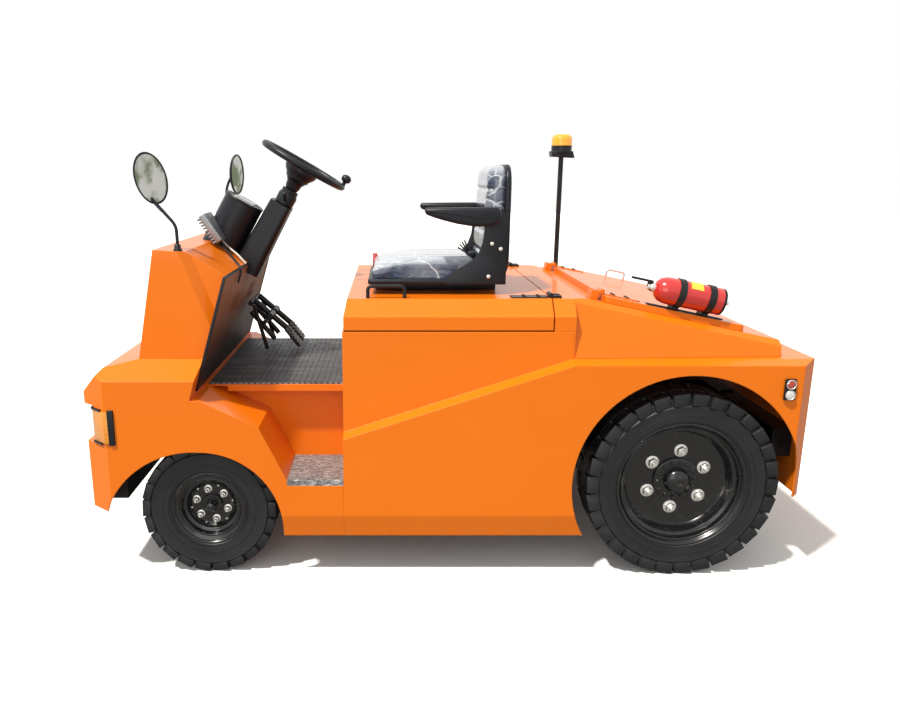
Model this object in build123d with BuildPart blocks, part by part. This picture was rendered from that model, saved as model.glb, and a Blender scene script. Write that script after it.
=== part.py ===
from build123d import *
import os
from math import cos, radians, sin

# Airport baggage tug, in millimetres.
# Frame: +X forward, +Y to the driver's left, +Z up, origin on the ground at mid length.

os.makedirs("parts", exist_ok=True)

# Overall sizes
FRONT_AXLE_X = 932
REAR_AXLE_X = -930
FRONT_OVERHANG = 468
REAR_OVERHANG = 470
NOSE_X = FRONT_AXLE_X + FRONT_OVERHANG
TAIL_X = REAR_AXLE_X - REAR_OVERHANG
HALF_WIDTH = 700
SHEET = 6
SEAT_GAP = 0.3
RUNNING = 0.05
MOVING_GAP = 5

# Wheels, their tyres set in from the body's sides
FRONT_TYRE_R = 268
FRONT_TYRE_W = 160
FRONT_TYRE_H = 126
FRONT_TYRE_BORE_R = FRONT_TYRE_R - FRONT_TYRE_H
FRONT_WHEEL_INSET = 45
FRONT_WHEEL_Y = HALF_WIDTH - FRONT_WHEEL_INSET - FRONT_TYRE_W / 2
REAR_TYRE_R = 375
REAR_TYRE_W = 190
REAR_TYRE_H = 129
REAR_TYRE_BORE_R = REAR_TYRE_R - REAR_TYRE_H
REAR_WHEEL_INSET = 20
REAR_WHEEL_Y = HALF_WIDTH - REAR_WHEEL_INSET - REAR_TYRE_W / 2
WHEEL_NUTS = 6

# Steering
KINGPIN_INSET = 105
KINGPIN_Y = FRONT_WHEEL_Y - KINGPIN_INSET
KINGPIN_R = 16
KNUCKLE_R = 30
KNUCKLE_H = 120
FRONT_SPINDLE_R = 22
REAR_SPINDLE_R = 30
STEER_WHEEL_BACK = 346
STEER_WHEEL_X = FRONT_AXLE_X - STEER_WHEEL_BACK
STEER_WHEEL_Z = 1592
STEER_WHEEL_R = 200
STEER_RIM_R = 13
STEER_SHAFT_R = 12
STEER_TILT = 30

# Lower body, its nose measured back from the front and its shelf from the axle
SKIRT_BOTTOM_Z = 170
SKIRT_FOLD_Z = 260
SKIRT_TUCK = 18
BAY_REAR_X = 394
BUMPER_BOTTOM_Z = 271
RECESS_BOTTOM_Z = 546
RECESS_TOP_Z = 698
RECESS_DEPTH = 48
RECESS_X = NOSE_X - RECESS_DEPTH
LIP_Z = 745
RIDGE_BACK = 90
RIDGE_X = NOSE_X - RIDGE_BACK
RIDGE_Z = 842
SHELF_FORWARD = 250
SHELF_X = FRONT_AXLE_X + SHELF_FORWARD
SHELF_Z = 868
FENDER_Z = 803
FENDER_W = 110
COWL_HALF_WIDTH = HALF_WIDTH - FENDER_W
NOSE_CHAMFER_X = 100
NOSE_CHAMFER_Y = 85
TAIL_CHAMFER = 60
TAIL_BOTTOM_Z = 328

# Operator's bay, its front measured from the front axle
STEP_W = 300
RISER_Y = HALF_WIDTH - STEP_W
STEP_Z = 411
STEP_THICKNESS = 24
STEP_EDGE = 3
HOUSING_FOOT_BACK = 319
HOUSING_BEND_BACK = 217
HOUSING_FOOT_X = FRONT_AXLE_X - HOUSING_FOOT_BACK
HOUSING_BEND_X = FRONT_AXLE_X - HOUSING_BEND_BACK
HOUSING_BEND_Z = 621
KICK_FOOT_FORWARD = 36
KICK_RUN = 133
KICK_FOOT_X = FRONT_AXLE_X + KICK_FOOT_FORWARD
KICK_FOOT_Z = 742
KICK_TOP_X = KICK_FOOT_X - KICK_RUN
KICK_TOP_Z = 1184
FLOOR_UNDER_Z = 728
FLOOR_SHEET = 6
FLOOR_MAT = 8
FLOOR_OVER_STEP = 70
FLOOR_HALF_WIDTH = RISER_Y + FLOOR_OVER_STEP

# Cowl over the nose: the two ends of its top, forward of the axle
COWL_FRONT_FORWARD = 169
COWL_REAR_FORWARD = 54
COWL_TOP_FRONT_X = FRONT_AXLE_X + COWL_FRONT_FORWARD
COWL_TOP_FRONT_Z = 1283
COWL_TOP_REAR_X = FRONT_AXLE_X + COWL_REAR_FORWARD
COWL_TOP_REAR_Z = 1275

# Cowl's set-back panel: its front fold at two heights, the width of the slanting fold and its depth
PANEL_TOP_FORWARD = 76
PANEL_LOW_BACK = 22
PANEL_TOP_X = FRONT_AXLE_X + PANEL_TOP_FORWARD
PANEL_TOP_Z = 1276
PANEL_LOW_X = FRONT_AXLE_X - PANEL_LOW_BACK
PANEL_LOW_Z = 1019
PANEL_FOLD = 36
PANEL_DEPTH = 25

# Main body, narrower above its ledge, then at its shoulder and at the deck
LEDGE_W = 50
SHOULDER_W = 60
DECK_STRIP = 48
LEDGE_FRONT_Z = 574
LEDGE_BEND_BACK = 80
LEDGE_Z = 864
LEDGE_RISE = 16
UPPER_HALF_WIDTH = HALF_WIDTH - LEDGE_W
SHOULDER_Z = 1039
TOP_Z = 1100
TOP_HALF_WIDTH = UPPER_HALF_WIDTH - SHOULDER_W
LID_SEAM_Z = 989
LID_REAR_X = -400
LID_RAKE = 17
LID_FRONT_TOP_X = BAY_REAR_X - LID_RAKE
LEDGE_BEND_X = LID_REAR_X - LEDGE_BEND_BACK
LID_SHEET = 4
DECK_BEND_BACK = 120
DECK_BEND_X = LID_REAR_X - DECK_BEND_BACK
TAIL_LEDGE = 115
DECK_REAR_X = TAIL_X + TAIL_LEDGE
DECK_SLOPE = 0.21
DECK_HALF_WIDTH = UPPER_HALF_WIDTH - DECK_STRIP
STRIP_W = 22
STRIP_INNER_Y = DECK_HALF_WIDTH - STRIP_W
STRIP_DROP = 20

# Rear hood, set in from the deck's bend, rear and sides
HOOD_FRONT_INSET = 87
HOOD_REAR_INSET = 135
HOOD_SIDE_INSET = 27
HOOD_FRONT_X = DECK_BEND_X - HOOD_FRONT_INSET
HOOD_REAR_X = DECK_REAR_X + HOOD_REAR_INSET
HOOD_HALF_WIDTH = DECK_HALF_WIDTH - HOOD_SIDE_INSET
HOOD_HEIGHT = 25
HOOD_OPENING_INSET = 45

# Wheel arches: clearance round the tyres, the centres' shifts from the axles, and the front arch's
# straight run forwards from its middle point to its tip
FRONT_ARCH_GAP = 48
FRONT_ARCH_SHIFT = 18
FRONT_ARCH_DROP = 62
FRONT_ARCH_RUN = 218
FRONT_ARCH_RISE = 260
FRONT_ARCH_TIP_BACK = 77
REAR_ARCH_GAP = 65
REAR_ARCH_SHIFT = -3
REAR_ARCH_LIFT = 11
FRONT_ARCH_X = FRONT_AXLE_X + FRONT_ARCH_SHIFT
FRONT_ARCH_Z = FRONT_TYRE_R - FRONT_ARCH_DROP
FRONT_ARCH_R = FRONT_TYRE_R + FRONT_ARCH_GAP
FRONT_ARCH_TIP_X = NOSE_X - FRONT_ARCH_TIP_BACK
FRONT_ARCH_MID_X = FRONT_ARCH_X + FRONT_ARCH_RUN
FRONT_ARCH_MID_Z = FRONT_ARCH_Z + FRONT_ARCH_RISE
REAR_ARCH_X = REAR_AXLE_X + REAR_ARCH_SHIFT
REAR_ARCH_Z = REAR_TYRE_R + REAR_ARCH_LIFT
REAR_ARCH_R = REAR_TYRE_R + REAR_ARCH_GAP

# Frame
RAIL_Y = 260
RAIL_W = 80
RAIL_BOTTOM_Z = 460
RAIL_TOP_Z = 580
RAIL_BACK = 120
RAIL_FRONT_X = NOSE_X - RAIL_BACK
RAIL_WEB = 10
CROSS_MEMBER_W = 80

# Tow gear
TOW_PIN_R = 15
TOW_PIN_GAP = 0.08
JAW_PIN_R = 13
JAW_HALF_WIDTH = 70
JAW_MID_Z = 400
JAW_H = 110
JAW_TOP_Z = JAW_MID_Z + JAW_H / 2
JAW_BOTTOM_Z = JAW_MID_Z - JAW_H / 2
JAW_MOUTH = 50

# Seat, on the driver's side of the top
SEAT_INSET = 340
SEAT_Y = TOP_HALF_WIDTH - SEAT_INSET
SEAT_HALF_WIDTH = 235
SEAT_FRONT_X = 302
SEAT_REAR_X = -246
SEAT_RAIL_H = 16
SEAT_PAN_H = 30
CUSHION_TOP_Z = 1245
BACK_TOP_Z = 1610
BACK_THICKNESS = 100
ARMREST_Z = 1384
ARMREST_LENGTH = 294

# Beacon
BEACON_BACK = 125
BEACON_OUT = 10
BEACON_X = DECK_BEND_X - BEACON_BACK
BEACON_Y = -(DECK_HALF_WIDTH + BEACON_OUT)
BEACON_POLE_R = 12
BEACON_BASE_Z = 1655
BEACON_LENS_R = 52

# Flanges and recesses
COWL_FLANGE = 40
COUPLING_HALF_WIDTH = 80
KICK_OPENING_START = 180
KICK_OPENING_LENGTH = 240
SLOPE_LENGTH = (1 + DECK_SLOPE**2) ** 0.5
LEDGE_TOP_Z = LEDGE_Z + LEDGE_RISE

# Frame members
BATTERY_OUT = 20
REAR_MEMBER_BACK = 220
FRONT_MEMBER_FORWARD = 248
OUTRIGGER_X = (LID_REAR_X - BATTERY_OUT, 340)
CROSS_MEMBER_X = (REAR_AXLE_X - REAR_MEMBER_BACK, *OUTRIGGER_X, FRONT_AXLE_X + FRONT_MEMBER_FORWARD)
STEP_OUTRIGGER_BACK = 462
STEP_OUTRIGGER_X = FRONT_AXLE_X - STEP_OUTRIGGER_BACK
OUTRIGGER_H = 60
BEAM_SHORT = 140
BEAM_HALF_WIDTH = HALF_WIDTH - BEAM_SHORT
BEAM_INSET = 8
BATTERY_FRONT_X = 370
BATTERY_REAR_X = -380
BATTERY_SIDE = 130
BATTERY_HALF_WIDTH = UPPER_HALF_WIDTH - BATTERY_SIDE
BATTERY_H = 395
BATTERY_CORNER = 15

# Axles
YOKE_BACK = 36
YOKE_BACK_Y = KINGPIN_Y - YOKE_BACK
YOKE_LUG = 28
AXLE_BEAM_H = 80
FRONT_SPINDLE_END = 30
REAR_SPINDLE_END = 35
REAR_TUBE_R = 55
REAR_HUB_INSET = 45
REAR_HUB_Y = REAR_WHEEL_Y - REAR_HUB_INSET
DRIVE_HALF_WIDTH = 130
DRIVE_R = 115
MOTOR_R = 100
MOTOR_LENGTH = 330

# Tyres and rims
BEAD_INSET = 18
RIM_LIP = 13
RIM_SHEET = 7
TYRE_SHOULDER = 30
FRONT_LUGS = 26
REAR_LUGS = 30
LUG_DEPTH = 12
LUG_GROOVE = 16
HUB_WALL = 24
HUB_LENGTH = 80
DISC_AT = 4
DISC_SHEET = 9
NUT_R = 15
NUT_H = 20

# Floor, mat and kick panel
FLOOR_SHORT = 6
FLOOR_LIP_SHORT = 92
FLOOR_FRONT_X = KICK_FOOT_X - FLOOR_SHORT
FLOOR_LIP_FRONT_X = FLOOR_FRONT_X - FLOOR_LIP_SHORT
FLOOR_LIP = 22
MAT_MARGIN = 8
MAT_RIBS = 22
MAT_RIB_PITCH = 24
MAT_RIB_H = 2
KICK_START = 4
KICK_OVER = 25
KICK_HALF_WIDTH = COWL_HALF_WIDTH + KICK_OVER
SLOT_Y = 210
SLOT_UP = 300
SLOT_PITCH = 34
SLOT_LENGTH = 80
SLOT_W = 14

# Column, pod and controls
COLUMN_R = 36
COLUMN_LENGTH = 520
COLUMN_COVER_START = 190
COLUMN_COVER_DEPTH = 96
COLUMN_COVER_W = 130
COLUMN_COVER_SHIFT = 6
HUB_DROP = 120
SPOKE_T = 8
SPOKE_W = 26
KNOB_R = 22
KNOB_H = 42
POD_FORWARD = 152
POD_R = 86
POD_TOP = 264
POD_H = 300
CONTROLLER_BACK = 29
CONTROLLER_X = COWL_TOP_FRONT_X - CONTROLLER_BACK
CONTROLLER_Y = 100
CONTROLLER_LENGTH = 54
CONTROLLER_W = 190
CONTROLLER_H = 60
CONTROLLER_FIN = 16
PEDAL_BACK = 168
PEDAL_X = KICK_FOOT_X - PEDAL_BACK
PEDAL_Z = 800
PEDAL_Y = -110
PEDAL_W = 80
PEDAL_PITCH = 145
PEDAL_ARM = 24
PEDAL_RUN = 60
PEDAL_RISE = 80
PEDAL_PAD = 10
PEDAL_PAD_DROP = 8
PEDAL_ARM_Z = 925
KICK_INSET = 7

# Hood and hinges
HOOD_REST = 0.3
HOOD_CORNER = 20
HINGE_W = 60
HINGE_R = 9
HINGE_PIN_R = 5
HINGE_T = 4
HINGE_STRAP = 140
HINGE_FOOT = 30
HINGE_INSET = 45
HINGE_Y = TOP_HALF_WIDTH - HINGE_INSET

# U handles: lid and hood
LID_HANDLE_X = 228
LID_HANDLE_INSET = 18
LID_HANDLE_SPAN = 140
LID_HANDLE_H = 45
LID_HANDLE_R = 7
HOOD_HANDLE_BACK = 308
HOOD_HANDLE_INSET = 105
HOOD_HANDLE_SPAN = 90
HOOD_HANDLE_H = 40
HOOD_HANDLE_R = 5

# Fire extinguisher
BOTTLE_BACK = 308
BOTTLE_INSET = 20
BOTTLE_X = HOOD_FRONT_X - BOTTLE_BACK
BOTTLE_Y = HOOD_HALF_WIDTH - BOTTLE_INSET
BOTTLE_R = 52
BOTTLE_UP = 68
BOTTLE_LENGTH = 270
BOTTLE_NECK_R = 15
BOTTLE_NECK = 34
BOTTLE_CLAMPS = (-75, 40)
BOTTLE_FOOT_W = 50
BOTTLE_FOOT_SHIFT = -14
STRAP_T = 3
STRAP_W = 26

# Seat details: the side plates' foot, neck and top
PLATE_FOOT = 300
PLATE_WAIST = 120
PLATE_NECK = 70
PLATE_STEP = 20
PLATE_OVER_ARM = 36
ARM_PIVOT_IN = 20
SEAT_RAIL_Y = 150
SEAT_RAIL_W = 34
BACK_FRONT_X = -142
BACK_LEAN = 28
BACK_CORNER = 70
CUSHION_ROUND = 26
ARMREST_H = 56
ARMREST_W = 50

# Mirrors
MIRROR_INSET = 30
MIRROR_Y = COWL_HALF_WIDTH - MIRROR_INSET
MIRROR_FOOT_FORWARD = 29
MIRROR_FOOT_X = COWL_TOP_REAR_X + MIRROR_FOOT_FORWARD
MIRROR_FOOT = 16
MIRROR_REACH = 92
MIRROR_HEAD_X = MIRROR_FOOT_X + MIRROR_REACH
MIRROR_RISE = 285
MIRROR_HEAD_Z = COWL_TOP_REAR_Z + MIRROR_RISE
MIRROR_STALK_R = 7
MIRROR_W = 130
MIRROR_H = 210
MIRROR_T = 12

# Beacon and lamps
BEACON_BASE_H = 36
BEACON_LENS_H = 56
LAMP_MARGIN = 9
LAMP_FACE_W = 145
LAMP_INNER_Y = HALF_WIDTH - NOSE_CHAMFER_Y - LAMP_FACE_W
LAMP_DEPTH = 22
LENS_T = 14
TAIL_LAMP_IN = 112
TAIL_LAMP_X = TAIL_X + TAIL_LAMP_IN
TAIL_LAMP_Z = 775
TAIL_LAMP_W = 45
TAIL_LAMP_H = 84
TAIL_LAMP_T = 13

# Tow gear details
JAW_REACH = 90
JAW_BORE_BACK = 45
JAW_BORE_X = NOSE_X - JAW_BORE_BACK
COUPLING_DEPTH = 120
COUPLING_BOTTOM_Z = 335
COUPLING_MID_Z = 396
COUPLING_REACH = 95
TOW_PIN_IN = 50
TOW_PIN_X = TAIL_X + TOW_PIN_IN
PIN_WELL_R = 32


def across(y):
    """Upright plane at y: sketches read as X and Z, extrusions go towards -Y."""
    return Plane.XZ.offset(-y)


def along(x):
    """Upright plane at x: sketches read as Y and Z, extrusions go towards +X."""
    return Plane.YZ.offset(x)


def axle_plane(x, y, z):
    """Plane holding a wheel's axis: sketches read as distance outwards along +Y and radius."""
    return Plane(origin=(x, y, z), x_dir=(0, 1, 0), z_dir=(1, 0, 0))


def kick_x(z):
    """X of the sloping plane between nose and operator's bay at height z."""
    return KICK_FOOT_X + (KICK_TOP_X - KICK_FOOT_X) * (z - KICK_FOOT_Z) / (KICK_TOP_Z - KICK_FOOT_Z)


def deck_z(x):
    """Height of the sloping rear deck at x."""
    return TOP_Z - DECK_SLOPE * (DECK_BEND_X - x)


def both_sides(half_outline):
    """Closed Y-Z outline from its left half, listed from bottom to top."""
    return half_outline + [(-y, z) for y, z in reversed(half_outline)]


# Closed forms of the body, from which the sheet shells and what seats on them are made

with BuildPart() as nose_form:
    with BuildSketch(across(HALF_WIDTH)):
        with BuildLine():
            Polyline(
                (BAY_REAR_X, SKIRT_BOTTOM_Z),
                (BAY_REAR_X, FLOOR_UNDER_Z),
                (kick_x(FLOOR_UNDER_Z), FLOOR_UNDER_Z),
                (kick_x(SHELF_Z), SHELF_Z),
                (SHELF_X, SHELF_Z),
                (RIDGE_X, RIDGE_Z),
                (NOSE_X, LIP_Z),
                (NOSE_X, RECESS_TOP_Z),
                (RECESS_X, RECESS_TOP_Z),
                (RECESS_X, RECESS_BOTTOM_Z),
                (NOSE_X, RECESS_BOTTOM_Z),
                (NOSE_X, SKIRT_BOTTOM_Z),
                close=True,
            )
        make_face()
    extrude(amount=2 * HALF_WIDTH)
    with BuildSketch(along(BAY_REAR_X)):
        with BuildLine():
            Polyline(
                *both_sides([
                    (HALF_WIDTH - SKIRT_TUCK, SKIRT_BOTTOM_Z),
                    (HALF_WIDTH, SKIRT_FOLD_Z),
                    (HALF_WIDTH, FENDER_Z),
                    (COWL_HALF_WIDTH, SHELF_Z),
                ]),
                close=True,
            )
        make_face()
    extrude(amount=NOSE_X - BAY_REAR_X, mode=Mode.INTERSECT)
    with BuildSketch(Plane.XY.offset(SKIRT_BOTTOM_Z)):
        for side in (1, -1):
            with BuildLine():
                Polyline(
                    (NOSE_X - NOSE_CHAMFER_X, side * HALF_WIDTH),
                    (NOSE_X, side * (HALF_WIDTH - NOSE_CHAMFER_Y)),
                    (NOSE_X, side * HALF_WIDTH),
                    close=True,
                )
            make_face()
    extrude(amount=SHELF_Z, mode=Mode.SUBTRACT)
    for y in (HALF_WIDTH, -RISER_Y):
        with BuildSketch(across(y)):
            with BuildLine():
                Polyline(
                    (BAY_REAR_X, STEP_Z - STEP_THICKNESS),
                    (HOUSING_FOOT_X, STEP_Z - STEP_THICKNESS),
                    (HOUSING_FOOT_X, STEP_Z),
                    (HOUSING_BEND_X, HOUSING_BEND_Z),
                    (kick_x(KICK_FOOT_Z), KICK_FOOT_Z),
                    (kick_x(SHELF_Z) + 2, SHELF_Z),
                    (BAY_REAR_X, SHELF_Z),
                    close=True,
                )
            make_face()
        extrude(amount=HALF_WIDTH - RISER_Y, mode=Mode.SUBTRACT)

with BuildPart() as cowl_form:
    with BuildSketch(across(COWL_HALF_WIDTH)):
        with BuildLine():
            Polyline(
                (SHELF_X, SHELF_Z),
                (COWL_TOP_FRONT_X, COWL_TOP_FRONT_Z),
                (COWL_TOP_REAR_X, COWL_TOP_REAR_Z),
                (KICK_TOP_X, KICK_TOP_Z),
                (kick_x(SHELF_Z), SHELF_Z),
                close=True,
            )
        make_face()
    extrude(amount=2 * COWL_HALF_WIDTH)
    # Behind a slanting fold each side is set back, down to the kick panel
    panel_fold = Plane(
        origin=(PANEL_TOP_X, 0, PANEL_TOP_Z),
        x_dir=(PANEL_LOW_Z - PANEL_TOP_Z, 0, PANEL_TOP_X - PANEL_LOW_X),
        z_dir=(PANEL_LOW_X - PANEL_TOP_X, 0, PANEL_LOW_Z - PANEL_TOP_Z),
    )
    with BuildSketch(panel_fold):
        for side in (1, -1):
            with BuildLine():
                Polyline(
                    (0, side * COWL_HALF_WIDTH),
                    (PANEL_FOLD, side * (COWL_HALF_WIDTH - PANEL_DEPTH)),
                    (COWL_TOP_FRONT_X - KICK_TOP_X, side * (COWL_HALF_WIDTH - PANEL_DEPTH)),
                    (COWL_TOP_FRONT_X - KICK_TOP_X, side * (COWL_HALF_WIDTH + PANEL_DEPTH)),
                    (0, side * (COWL_HALF_WIDTH + PANEL_DEPTH)),
                    close=True,
                )
            make_face()
    extrude(amount=COWL_TOP_FRONT_Z - SHELF_Z, both=True, mode=Mode.SUBTRACT)

with BuildPart() as belly_form:
    with BuildSketch(across(HALF_WIDTH)):
        with BuildLine():
            Polyline(
                (BAY_REAR_X, SKIRT_BOTTOM_Z),
                (BAY_REAR_X, LEDGE_FRONT_Z + LEDGE_RISE),
                (LEDGE_BEND_X, LEDGE_TOP_Z),
                (TAIL_X, LEDGE_TOP_Z),
                (TAIL_X, SKIRT_BOTTOM_Z),
                close=True,
            )
        make_face()
    extrude(amount=2 * HALF_WIDTH)
    with BuildSketch(along(TAIL_X)):
        with BuildLine():
            Polyline(
                *both_sides([
                    (HALF_WIDTH - SKIRT_TUCK, SKIRT_BOTTOM_Z),
                    (HALF_WIDTH, SKIRT_FOLD_Z),
                    (HALF_WIDTH, LEDGE_Z),
                    (UPPER_HALF_WIDTH, LEDGE_TOP_Z),
                ]),
                close=True,
            )
        make_face()
    extrude(amount=BAY_REAR_X - TAIL_X, mode=Mode.INTERSECT)
    # The ledge falls outwards along its sloping part too
    with BuildSketch(along(BAY_REAR_X)):
        for side in (1, -1):
            with BuildLine():
                Polyline(
                    (side * HALF_WIDTH, LEDGE_FRONT_Z),
                    (side * UPPER_HALF_WIDTH, LEDGE_FRONT_Z + LEDGE_RISE),
                    (side * UPPER_HALF_WIDTH, LEDGE_TOP_Z),
                    (side * (HALF_WIDTH + SHEET), LEDGE_TOP_Z),
                    (side * (HALF_WIDTH + SHEET), LEDGE_FRONT_Z),
                    close=True,
                )
            make_face()
    extrude(
        amount=((BAY_REAR_X - LEDGE_BEND_X) ** 2 + (LEDGE_Z - LEDGE_FRONT_Z) ** 2) ** 0.5,
        dir=(LEDGE_BEND_X - BAY_REAR_X, 0, LEDGE_Z - LEDGE_FRONT_Z),
        mode=Mode.SUBTRACT,
    )
    with BuildSketch(Plane.XY.offset(SKIRT_BOTTOM_Z)):
        for side in (1, -1):
            with BuildLine():
                Polyline(
                    (TAIL_X + TAIL_CHAMFER, side * HALF_WIDTH),
                    (TAIL_X, side * (HALF_WIDTH - TAIL_CHAMFER)),
                    (TAIL_X, side * HALF_WIDTH),
                    close=True,
                )
            make_face()
    extrude(amount=LEDGE_TOP_Z, mode=Mode.SUBTRACT)

# Nose and sills: one welded shell, open below, with both front arches and both step wells
with BuildPart() as front_body:
    add(nose_form.part)
    offset(
        amount=-SHEET,
        openings=faces().filter_by(Axis.Z).sort_by(Axis.Z)[0],
        kind=Kind.INTERSECTION,
    )
    # The shell is open to the rear, where the main body closes it
    with BuildSketch(along(BAY_REAR_X)):
        with Locations((0, SKIRT_BOTTOM_Z)):
            Rectangle(2 * (RISER_Y - SHEET), FLOOR_UNDER_Z - SHEET - SKIRT_BOTTOM_Z,
                      align=(Align.CENTER, Align.MIN))
    extrude(amount=SHEET, mode=Mode.SUBTRACT)
    # The bumper ends above the skirts
    with BuildSketch(Plane.XY.offset(SKIRT_BOTTOM_Z)):
        with Locations((FRONT_ARCH_X, 0)):
            Rectangle(NOSE_X - FRONT_ARCH_X, 2 * HALF_WIDTH, align=(Align.MIN, Align.CENTER))
    extrude(amount=BUMPER_BOTTOM_Z - SKIRT_BOTTOM_Z, mode=Mode.SUBTRACT)
    for y in (HALF_WIDTH, -HALF_WIDTH + 2 * NOSE_CHAMFER_Y):
        with BuildSketch(across(y)):
            with BuildLine():
                ThreePointArc(
                    (FRONT_ARCH_TIP_X, BUMPER_BOTTOM_Z),
                    (FRONT_ARCH_MID_X, FRONT_ARCH_MID_Z),
                    (FRONT_ARCH_X, FRONT_ARCH_Z + FRONT_ARCH_R),
                )
                ThreePointArc(
                    (FRONT_ARCH_X, FRONT_ARCH_Z + FRONT_ARCH_R),
                    (FRONT_ARCH_X - FRONT_ARCH_R * sin(radians(45)),
                     FRONT_ARCH_Z + FRONT_ARCH_R * cos(radians(45))),
                    (FRONT_ARCH_X - FRONT_ARCH_R, FRONT_ARCH_Z),
                )
                Polyline(
                    (FRONT_ARCH_X - FRONT_ARCH_R, FRONT_ARCH_Z),
                    (FRONT_ARCH_X - FRONT_ARCH_R, SKIRT_BOTTOM_Z),
                    (FRONT_ARCH_TIP_X, SKIRT_BOTTOM_Z),
                    (FRONT_ARCH_TIP_X, BUMPER_BOTTOM_Z),
                )
            make_face()
        extrude(amount=2 * NOSE_CHAMFER_Y, mode=Mode.SUBTRACT)
    # Cut-out in the bumper for the tow jaw
    with BuildSketch(along(NOSE_X)):
        with Locations((0, (JAW_BOTTOM_Z + JAW_TOP_Z) / 2)):
            Rectangle(2 * JAW_HALF_WIDTH + 2 * MOVING_GAP, JAW_TOP_Z - JAW_BOTTOM_Z + 2 * MOVING_GAP)
    extrude(amount=-SHEET, mode=Mode.SUBTRACT)
front_body.part.label = "front_body"
export_step(front_body.part, "parts/front_body.step")

# Cowl over the nose: sheet cover, open below, with a set-back panel at the rear of each side
with BuildPart() as nose_cowl:
    add(cowl_form.part)
    offset(
        amount=-SHEET,
        openings=faces().filter_by(Axis.Z).sort_by(Axis.Z)[0],
        kind=Kind.INTERSECTION,
    )
    # The kick panel closes the rear between the cowl's side flanges
    with BuildSketch(Plane(origin=(KICK_FOOT_X, 0, KICK_FOOT_Z), x_dir=(0, 1, 0),
                           z_dir=(KICK_FOOT_Z - KICK_TOP_Z, 0, KICK_TOP_X - KICK_FOOT_X))):
        with Locations((0, KICK_OPENING_START)):
            Rectangle(2 * (COWL_HALF_WIDTH - PANEL_DEPTH - COWL_FLANGE), KICK_OPENING_LENGTH,
                      align=(Align.CENTER, Align.MIN))
    extrude(amount=3 * SHEET, both=True, mode=Mode.SUBTRACT)
nose_cowl.part.label = "nose_cowl"
export_step(nose_cowl.part, "parts/nose_cowl.step")

# Belly, tail and the walls round the battery room: one welded shell, open below and on top
with BuildPart() as rear_body:
    add(belly_form.part)
    offset(
        amount=-SHEET,
        openings=faces().filter_by(Axis.Z).sort_by(Axis.Z)[0],
        kind=Kind.INTERSECTION,
    )
    with BuildSketch(Plane.XY.offset(LEDGE_FRONT_Z - SHEET)):
        with Locations(((BAY_REAR_X + DECK_REAR_X) / 2, 0)):
            Rectangle(BAY_REAR_X - DECK_REAR_X - 2 * SHEET, 2 * (DECK_HALF_WIDTH - 3 * SHEET))
    extrude(amount=LEDGE_TOP_Z - LEDGE_FRONT_Z + 2 * SHEET, mode=Mode.SUBTRACT)
    # Tail ends above the skirts
    with BuildSketch(Plane.XY.offset(SKIRT_BOTTOM_Z)):
        with Locations((REAR_ARCH_X, 0)):
            Rectangle(REAR_ARCH_X - TAIL_X, 2 * HALF_WIDTH, align=(Align.MAX, Align.CENTER))
    extrude(amount=TAIL_BOTTOM_Z - SKIRT_BOTTOM_Z, mode=Mode.SUBTRACT)
    for y in (HALF_WIDTH, -HALF_WIDTH + 3 * SHEET + SKIRT_TUCK):
        with BuildSketch(across(y)):
            with Locations((REAR_ARCH_X, REAR_ARCH_Z)):
                Circle(REAR_ARCH_R)
        extrude(amount=3 * SHEET + SKIRT_TUCK, mode=Mode.SUBTRACT)
    # Walls above the ledge
    with BuildSketch(along(BAY_REAR_X)):
        with BuildLine():
            Polyline(
                *both_sides([
                    (UPPER_HALF_WIDTH, LEDGE_FRONT_Z - SHEET),
                    (UPPER_HALF_WIDTH, LID_SEAM_Z - MOVING_GAP),
                ]),
                close=True,
            )
        make_face()
    extrude(amount=-SHEET)
    for y in (UPPER_HALF_WIDTH, SHEET - UPPER_HALF_WIDTH):
        with BuildSketch(across(y)):
            with BuildLine():
                Polyline(
                    (BAY_REAR_X, LEDGE_FRONT_Z + LEDGE_RISE - SHEET),
                    (BAY_REAR_X, LID_SEAM_Z - MOVING_GAP),
                    (LEDGE_BEND_X, LID_SEAM_Z - MOVING_GAP),
                    (LEDGE_BEND_X, LEDGE_TOP_Z - SHEET),
                    close=True,
                )
            make_face()
        extrude(amount=SHEET)
    # The frame's rails pass through the front wall
    with BuildSketch(along(BAY_REAR_X)):
        for side in (1, -1):
            with Locations((side * RAIL_Y, (RAIL_BOTTOM_Z + RAIL_TOP_Z) / 2)):
                Rectangle(RAIL_W + MOVING_GAP, RAIL_TOP_Z - RAIL_BOTTOM_Z + MOVING_GAP)
    extrude(amount=-SHEET, mode=Mode.SUBTRACT)
    # Notch in the tail for the coupling
    with BuildSketch(along(TAIL_X)):
        with Locations((0, TAIL_BOTTOM_Z)):
            Rectangle(2 * COUPLING_HALF_WIDTH + 4 * MOVING_GAP,
                      RAIL_BOTTOM_Z - TAIL_BOTTOM_Z, align=(Align.CENTER, Align.MIN))
    extrude(amount=SHEET, mode=Mode.SUBTRACT)
rear_body.part.label = "rear_body"
export_step(rear_body.part, "parts/rear_body.step")

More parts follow.
